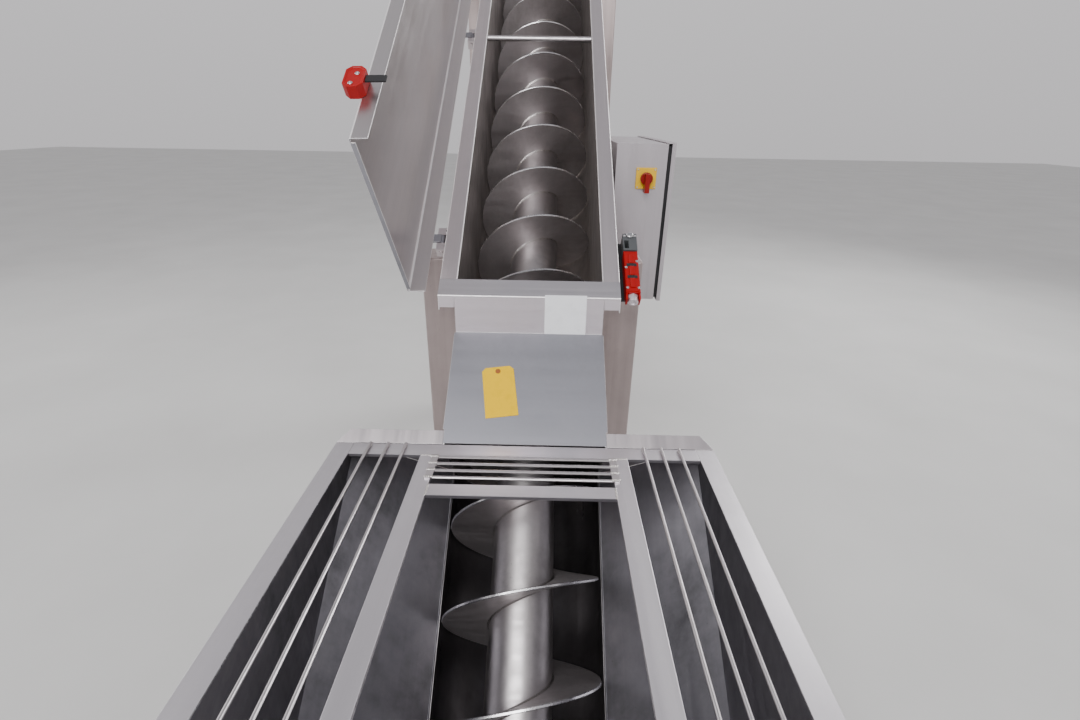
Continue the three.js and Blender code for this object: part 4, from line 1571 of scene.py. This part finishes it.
@dataclass
class Drive(Assembly):
    """The lower bearing, gearbox and motor."""

    bearing_rounding: float = 0.002
    bearing_bolt_reach: float = 0.053
    bearing_bolt_radius: float = 0.007
    bearing_face: float = -0.014
    gearbox_rounding: float = 0.003
    gear_bolt_reach: float = 0.088
    gear_bolt_radius: float = 0.01
    gear_face: float = 3.3026
    shell_run: Span = (3.4149, 3.59)
    shell_radius: float = 0.069
    shell_sides: int = 56
    fin_half: float = 0.0013
    fin_run: Span = (3.4269, 3.584)
    fin_level: Span = (0.067, 0.076)
    fin_count: int = 28
    fan_run: Span = (3.59, 3.64)
    fan_radius: float = 0.08
    fan_centre: float = 0.01
    box_half: float = 0.045
    box_run: Span = (3.4479, 3.5419)
    box_level: Span = (0.04, 0.098)
    lid_half: float = 0.048
    lid_run: Span = (3.4449, 3.5449)
    lid_level: Span = (0.098, 0.112)
    lid_screw_margin: float = 0.005
    lid_screw_sunk: float = 0.001

    def build(self) -> None:
        """Dresses the bearing and gearbox, and models the motor and bolts."""
        paint = self.finishes.paint
        dress_node("lower_bearing", paint, Slot.PAINT, width=self.bearing_rounding)
        dress_node("gearbox", paint, Slot.PAINT, width=self.gearbox_rounding)
        motor = join("motor_fine", [*self.build_shell(), *self.build_box()])
        finish_piece(motor, paint, Slot.PAINT, replaces=["motor"], place=ON_INCLINE)
        self.build_lid_screws()
        self.build_bolts(
            "bearing_bolts", self.bearing_bolt_reach, self.bearing_face, NEAR, self.bearing_bolt_radius
        )
        self.build_bolts("gearbox_bolts", self.gear_bolt_reach, self.gear_face, FAR, self.gear_bolt_radius)

    def build_bolts(
        self, name: str, reach: float, station: float, direction: Vector, radius: float
    ) -> None:
        """Models four bolts at the corners of a square foot.

        Args:
            name: The piece's name.
            reach: How far each bolt is from the axis, sideways and upwards.
            station: Where the foot's face is.
            direction: The direction that the face looks in.
            radius: The bolts' head radius.
        """
        places = [
            ON_INCLINE @ Matrix.Translation((x, station, level)) @ turn_up_to(direction)
            for x in (-reach, reach)
            for level in (-reach, reach)
        ]
        self.fasten(name, make_bolt(radius, 0.6 * radius), places)

    def build_shell(self) -> list[Piece]:
        """Models the motor's finned shell and its fan cover.

        Returns:
            The shell, the fins and the fan cover.
        """
        start, end = ((0, station, 0) for station in self.shell_run)
        shell = add_round("shell", start, end, self.shell_radius, self.shell_sides)
        round_edges(shell, width=0.002)
        fin = add_box("fin", (-self.fin_half, self.fin_half), self.fin_run, self.fin_level)
        round_edges(fin, width=0.0007, segments=1)
        step = FULL_TURN / self.fin_count
        turns = [Matrix.Rotation(step * number, 4, "Y") for number in range(self.fin_count)]
        fins = copies(fin, "fins", turns)
        start, end = ((0, station, 0) for station in self.fan_run)
        fan = add_round("fan_cover", start, end, self.fan_radius, self.shell_sides)
        inset_faces(fan, facing(FAR), thickness=0.012)
        inset_faces(fan, facing(FAR, Vector(), self.fan_centre), thickness=0.014, depth=-0.003)
        round_edges(fan, width=0.003)
        return [shell, fins, fan]

    def build_box(self) -> list[Piece]:
        """Models the motor's terminal box.

        Returns:
            The box and its lid.
        """
        box = add_box("box", (-self.box_half, self.box_half), self.box_run, self.box_level)
        lid = add_box("lid", (-self.lid_half, self.lid_half), self.lid_run, self.lid_level)
        inset_faces(lid, facing(UP), thickness=0.008, depth=-0.0015)
        for part in (box, lid):
            round_edges(part, width=0.003)
        return [box, lid]

    def build_lid_screws(self) -> None:
        """Models the screws at the corners of the terminal box's lid."""
        reach = self.lid_half - self.lid_screw_margin
        low, high = self.lid_run
        places = [
            ON_INCLINE @ Matrix.Translation((x, station, self.lid_level[1] - self.lid_screw_sunk))
            for x in (-reach, reach)
            for station in (low + self.lid_screw_margin, high - self.lid_screw_margin)
        ]
        self.fasten("terminal_screws", make_screw(radius=0.0032, height=0.0022), places)


@dataclass
class Cover(Assembly):
    """The hinged cover with its hinges and switch actuator.

    The cover's own sizes are those of the closed cover, in the incline's frame.
    """

    knuckle_rounding: float = 0.001
    bracket_rounding: float = 0.0015
    hinge_stations: tuple[float, ...] = (1.29, 2.24, 3.15)
    lug_offset: float = 0.026
    lug_x: Span = (-0.228, -0.196)
    lug_top: float = 0.224
    block_x: Span = (0.2253, 0.2513)
    block_run: Span = (1.222, 1.286)
    block_level: Span = (0.2655, 0.305)
    block_clip: float = 0.0105
    block_centre: float = 0.004
    block_screws: tuple[Span, ...] = ((1.263, 0.281), (1.234, 0.289))
    block_screw_sunk: float = 0.002
    backing_x: Span = (0.2216, 0.2228)
    backing_run: Span = (1.2, 1.326)
    backing_level: Span = (0.243, 0.274)

    def build(self) -> None:
        """Dresses the cover's nodes and models its backing plate and fasteners."""
        apron, plain = self.finishes.apron, Slot.BRUSHED
        # The cover's folds and cut faces take the near-white painted highlight.
        cover = dress_node(
            "cover", self.finishes.cover, plain, Body.COVER, cut=self.finishes.fold_highlight,
            fold=lambda edge: edge.is_fold() and edge.runs(UPHILL),
        )
        repaint_faces(cover, apron, lambda face: abs(face.normal.dot(UPHILL)) > FACING)
        for number in range(1, len(self.hinge_stations) + 1):
            knuckle, bracket = f"cover_knuckle_{number}", f"hinge_bracket_{number}"
            dress_node(knuckle, apron, plain, Body.COVER, width=self.knuckle_rounding)
            dress_node(bracket, self.finishes.flange, plain, width=self.bracket_rounding)
        dress_node("actuator_tongue", self.finishes.black, Slot.DARK, Body.COVER)
        self.build_block()
        self.build_backing()
        self.build_hinge_screws()

    def build_block(self) -> None:
        """Models the red actuator block with its cut corners and two screws."""
        block = add_box("actuator_block_fine", self.block_x, self.block_run, self.block_level)
        middle = Vector((0, sum(self.block_run) / 2, sum(self.block_level) / 2))
        round_chosen(block, self.block_clip, lambda edge: edge.runs(RIGHT), segments=1)
        inset_faces(block, facing(RIGHT), thickness=0.004)
        inset_faces(
            block, facing(RIGHT, middle, self.block_centre), thickness=0.0008, depth=-0.0018
        )
        round_edges(block, width=0.0014)
        finish_piece(
            block, self.finishes.red, Slot.RED, Body.COVER, ["actuator_block"], ON_OPEN_COVER
        )
        face = self.block_x[1] - self.block_screw_sunk
        places = [
            ON_OPEN_COVER @ Matrix.Translation((face, station, level)) @ turn_up_to(RIGHT)
            for station, level in self.block_screws
        ]
        self.fasten("actuator_screws", make_screw(radius=0.0046, height=0.0019), places, Body.COVER)

    def build_backing(self) -> None:
        """Models the plate behind the actuator, inside the free skirt."""
        plate = add_box("actuator_backing", self.backing_x, self.backing_run, self.backing_level)
        inset_faces(plate, facing(LEFT), thickness=0.004, depth=0.0002)
        round_edges(plate, width=0.0004)
        steel = self.finishes.flange
        finish_piece(plate, steel, Slot.BRUSHED, Body.COVER, place=ON_OPEN_COVER)

    def build_hinge_screws(self) -> None:
        """Models two screws on top of each hinge lug."""
        places = [
            ON_INCLINE @ Matrix.Translation((x, station + offset, self.lug_top))
            for station in self.hinge_stations
            for offset in (-self.lug_offset, self.lug_offset)
            for x in self.lug_x
        ]
        self.fasten("hinge_screws", make_screw(radius=0.0042, height=0.002), places)


@dataclass
class InterlockSwitch(Assembly):
    """The safety switch beside the right flange, in the incline's frame."""

    head_rounding: float = 0.0015
    middle_x: float = 0.2545
    base_x: Span = (0.2365, 0.2725)
    base_run: Span = (1.104, 1.235)
    base_level: Span = (0.217, 0.2505)
    lid_x: Span = (0.2385, 0.2705)
    lid_run: Span = (1.108, 1.232)
    lid_level: Span = (0.2495, 0.2523)
    spine_x: Span = (0.248, 0.261)
    spine_stations: tuple[float, ...] = (1.132, 1.17, 1.208)
    spine_half: float = 0.014
    spine_level: Span = (0.2515, 0.2552)
    prongs_x: tuple[Span, Span] = ((0.2365, 0.241), (0.268, 0.2725))
    prong_run: Span = (1.0868, 1.106)
    prong_level: Span = (0.223, 0.247)
    part_rounding: float = 0.0009
    recess_x: Span = (0.242, 0.267)
    recess_stations: tuple[float, ...] = (1.151, 1.189)
    recess_half: float = 0.0042
    recess_level: Span = (0.2515, 0.2536)
    screw_level: float = 0.2522
    screw_places: tuple[Span, ...] = (
        (-0.0142, 1.1165), (0.0142, 1.1165), (0.0142, 1.2), (-0.0142, 1.18),
    )
    head_bolt: Span = (1.281, 0.2562)
    head_bolt_radius: float = 0.0088
    head_bolt_height: float = 0.0062
    head_screw_offset: float = 0.0138
    gland_level: float = 0.2355
    gland_radius: float = 0.0134
    nut_run: Span = (1.0947, 1.1037)
    cap_run: Span = (1.0837, 1.0947)
    cap_share: float = 0.96
    bore_centre: float = 0.0005

    def build(self) -> None:
        """Dresses the switch's nodes and models its lid, recesses, screws and gland."""
        # The steel bracket is painted black: painted shade for the dark gap between the flange and the
        # switch body.
        dress_node("switch_bracket", self.finishes.black, Slot.BRUSHED)
        dress_node("switch_head", self.finishes.grey, Slot.GREY, width=self.head_rounding)
        self.build_body()
        self.build_recesses()
        self.build_screws()
        self.build_head_bolt()
        self.build_gland()

    def build_body(self) -> None:
        """Models the red body, its raised lid and spine, and the two prongs beside the gland."""
        parts = [
            add_box("base", self.base_x, self.base_run, self.base_level),
            add_box("lid", self.lid_x, self.lid_run, self.lid_level),
        ]
        for station in self.spine_stations:
            run = (station - self.spine_half, station + self.spine_half)
            parts.append(add_box("spine", self.spine_x, run, self.spine_level))
            inset_faces(parts[-1], facing(UP), thickness=0.003, depth=-0.0012)
        for prong_x in self.prongs_x:
            parts.append(add_box("prong", prong_x, self.prong_run, self.prong_level))
        for part in parts:
            round_edges(part, self.part_rounding)
        body = join("switch_body_fine", parts)
        finish_piece(body, self.finishes.red, Slot.RED, replaces=["switch_body"], place=ON_INCLINE)

    def build_recesses(self) -> None:
        """Models the dark recesses across the lid, between the spine's segments."""
        recesses = []
        for station in self.recess_stations:
            run = (station - self.recess_half, station + self.recess_half)
            recess = add_box("recess", self.recess_x, run, self.recess_level)
            inset_faces(recess, facing(UP), thickness=0.0012, depth=-0.0006)
            round_edges(recess, width=0.0003, segments=1)
            recesses.append(recess)
        inlay = join("switch_recesses", recesses)
        finish_piece(inlay, self.finishes.black, Slot.GREY, place=ON_INCLINE)

    def build_screws(self) -> None:
        """Models the lid's screws and the two screws beside the head's bolt."""
        points = [(offset, station, self.screw_level) for offset, station in self.screw_places]
        for offset in (-self.head_screw_offset, self.head_screw_offset):
            points.append((offset, *self.head_bolt))
        places = [
            ON_INCLINE @ Matrix.Translation((self.middle_x + offset, station, level))
            for offset, station, level in points
        ]
        self.fasten("switch_screws", make_screw(radius=0.0036, height=0.0022), places)

    def build_head_bolt(self) -> None:
        """Models the domed bolt on the head."""
        station, level = self.head_bolt
        bolt = add_round(
            "switch_head_bolt",
            (self.middle_x, station, level),
            (self.middle_x, station, level + self.head_bolt_height),
            self.head_bolt_radius,
        )
        inset_faces(bolt, facing(UP), thickness=0.0022, depth=0.0016)
        round_edges(bolt, width=0.0012, segments=3)
        finish_piece(bolt, self.finishes.bright, Slot.POLISHED, place=ON_INCLINE)

    def build_gland(self) -> None:
        """Models the cable gland: a hexagon nut, a domed cap and a blind bore."""
        start, end = ((self.middle_x, station, self.gland_level) for station in self.nut_run)
        nut = add_round("nut", start, end, self.gland_radius, sides=6)
        round_edges(nut, width=0.0007)
        start, end = ((self.middle_x, station, self.gland_level) for station in self.cap_run)
        cap = add_round("cap", start, end, self.cap_share * self.gland_radius)
        inset_faces(cap, facing(NEAR), thickness=0.0062, depth=0.0008)
        bore = facing(NEAR, Vector(start), self.bore_centre)
        inset_faces(cap, bore, thickness=0.0002, depth=-0.003)
        round_edges(cap, width=0.0012)
        finish_piece(
            join("switch_gland_fine", [nut, cap]), self.finishes.front_lit_steel, Slot.POLISHED,
            replaces=["switch_gland"], place=ON_INCLINE,
        )


@dataclass
class Cabinet(Assembly):
    """The control cabinet, its door and the isolator."""

    body_rounding: float = 0.0015
    door_rounding: float = 0.0008
    handle_rounding: float = 0.0025
    gasket_x: Span = (0.3915, 0.4085)
    gasket_y: Span = (0.205, 0.795)
    gasket_z: Span = (0.915, 1.376)
    gasket_width: float = 0.012
    gasket_centre: float = 0.1
    lip_x: Span = (0.387, 0.401)
    lip_y: Span = (0.196, 0.804)
    lip_z: Span = (1.3818, 1.3846)
    lock_x: float = 0.412
    lock_y: float = 0.235
    lock_z: Span = (0.99, 1.3)
    isolator: tuple[float, float, float] = (0.331, 0.1937, 1.285)
    isolator_reach: float = 0.025

    def build(self) -> None:
        """Dresses the cabinet's nodes and models its gasket, locks and plate screws."""
        steel = self.finishes.cabinet
        dress_node("cabinet_body", steel, Slot.BRUSHED, width=self.body_rounding)
        dress_node("cabinet_door", steel, Slot.BRUSHED, Body.DOOR, width=self.door_rounding)
        for number in (1, 2):
            dress_node(f"door_pin_{number}", self.finishes.bright, Slot.POLISHED)
        dress_node(
            "isolator_plate", self.finishes.yellow, Slot.YELLOW, width=self.body_rounding
        )
        dress_node(
            "isolator_handle", self.finishes.dark_red, Slot.RED, Body.HANDLE,
            width=self.handle_rounding,
        )
        self.build_gasket()
        self.build_drip_lip()
        self.build_locks()
        self.build_plate_screws()

    def build_drip_lip(self) -> None:
        """Models the lip on the door's top edge that sheds water over the gap."""
        lip = add_box("door_drip_lip", self.lip_x, self.lip_y, self.lip_z)
        inset_faces(lip, facing(UP), thickness=0.002, depth=0.0002)
        round_edges(lip, self.door_rounding)
        finish_piece(lip, self.finishes.cabinet, Slot.BRUSHED, Body.DOOR)

    def build_gasket(self) -> None:
        """Models the dark rubber frame between the cabinet and its door."""
        gasket = add_box("door_gasket", self.gasket_x, self.gasket_y, self.gasket_z)
        inset_faces(gasket, lambda face: abs(face.normal.x) > FACING, self.gasket_width)
        middle = Vector((0, sum(self.gasket_y) / 2, sum(self.gasket_z) / 2))
        centres = [facing(side, middle, self.gasket_centre) for side in (LEFT, RIGHT)]
        select_faces(gasket, lambda face: any(centre(face) for centre in centres))
        bpy.ops.mesh.bridge_edge_loops()
        bpy.ops.object.mode_set(mode="OBJECT")
        round_edges(gasket, width=0.002)
        finish_piece(gasket, self.finishes.black, Slot.GREY, Body.DOOR)

    def build_locks(self) -> None:
        """Models the two quarter-turn locks on the door."""
        places = [
            Matrix.Translation((self.lock_x, self.lock_y, z)) @ turn_up_to(RIGHT)
            for z in self.lock_z
        ]
        self.fasten("door_locks", make_screw(radius=0.012, height=0.003), places, Body.DOOR)

    def build_plate_screws(self) -> None:
        """Models the four screws at the corners of the isolator's plate."""
        x, y, z = self.isolator
        reach = self.isolator_reach
        places = [
            Matrix.Translation((x + aside, y, z + above)) @ turn_up_to(NEAR)
            for aside in (-reach, reach)
            for above in (-reach, reach)
        ]
        self.fasten("isolator_screws", make_screw(radius=0.0025, height=0.0015), places)


@dataclass
class Supports(Assembly):
    """Columns and base bars, with a bolted foot plate under each column."""

    column_rounding: float = 0.004
    base_rounding: float = 0.003
    cross_rounding: float = 0.002
    column_y: Span = (0.0, 1.15)
    foot_x: Span = (0.1816, 0.34)
    foot_y: Span = (-0.078, 0.078)
    foot_z: Span = (0.0, 0.01)
    bolt_x: float = 0.32
    bolt_y: Span = (-0.055, 0.055)

    def build_feet(self) -> None:
        """Models one foot plate, and copies it to each column with its bolts."""
        plate = add_box("foot", self.foot_x, self.foot_y, self.foot_z)
        inset_faces(plate, facing(UP), thickness=0.003, depth=0.0004)
        round_edges(plate, width=0.0015)
        turns = (Matrix(), Matrix.Rotation(math.pi, 4, "Z"))
        places = [Matrix.Translation((0, y, 0)) @ turn for y in self.column_y for turn in turns]
        finish_piece(copies(plate, "foot_plates", places), self.finishes.column, Slot.DARK)
        bolts = [
            place @ Matrix.Translation((self.bolt_x, y, self.foot_z[1]))
            for place in places
            for y in self.bolt_y
        ]
        self.fasten("foot_bolts", make_bolt(radius=0.01, height=0.007), bolts)

    def build(self) -> None:
        """Dresses the columns and bars, and models the feet."""
        self.build_feet()
        steel, dark = self.finishes.column, Slot.DARK
        for pair in ("front", "rear"):
            for side, _ in SIDES:
                dress_node(f"{pair}_column_{side}", steel, dark, width=self.column_rounding)
            dress_node(f"{pair}_base_bar", steel, dark, width=self.base_rounding)
        dress_node("front_cross_bar", steel, dark, width=self.cross_rounding)


def main() -> None:
    """Builds the studio and every sub-assembly in order."""
    Studio().build()
    finishes = Finishes()
    for assembly in (Hopper, Grille, Trough, Screw, Drive, Cover, InterlockSwitch, Cabinet, Supports):
        log.info("building %s", assembly.__name__)
        assembly(finishes).build()


if __name__ == "__main__":
    main()
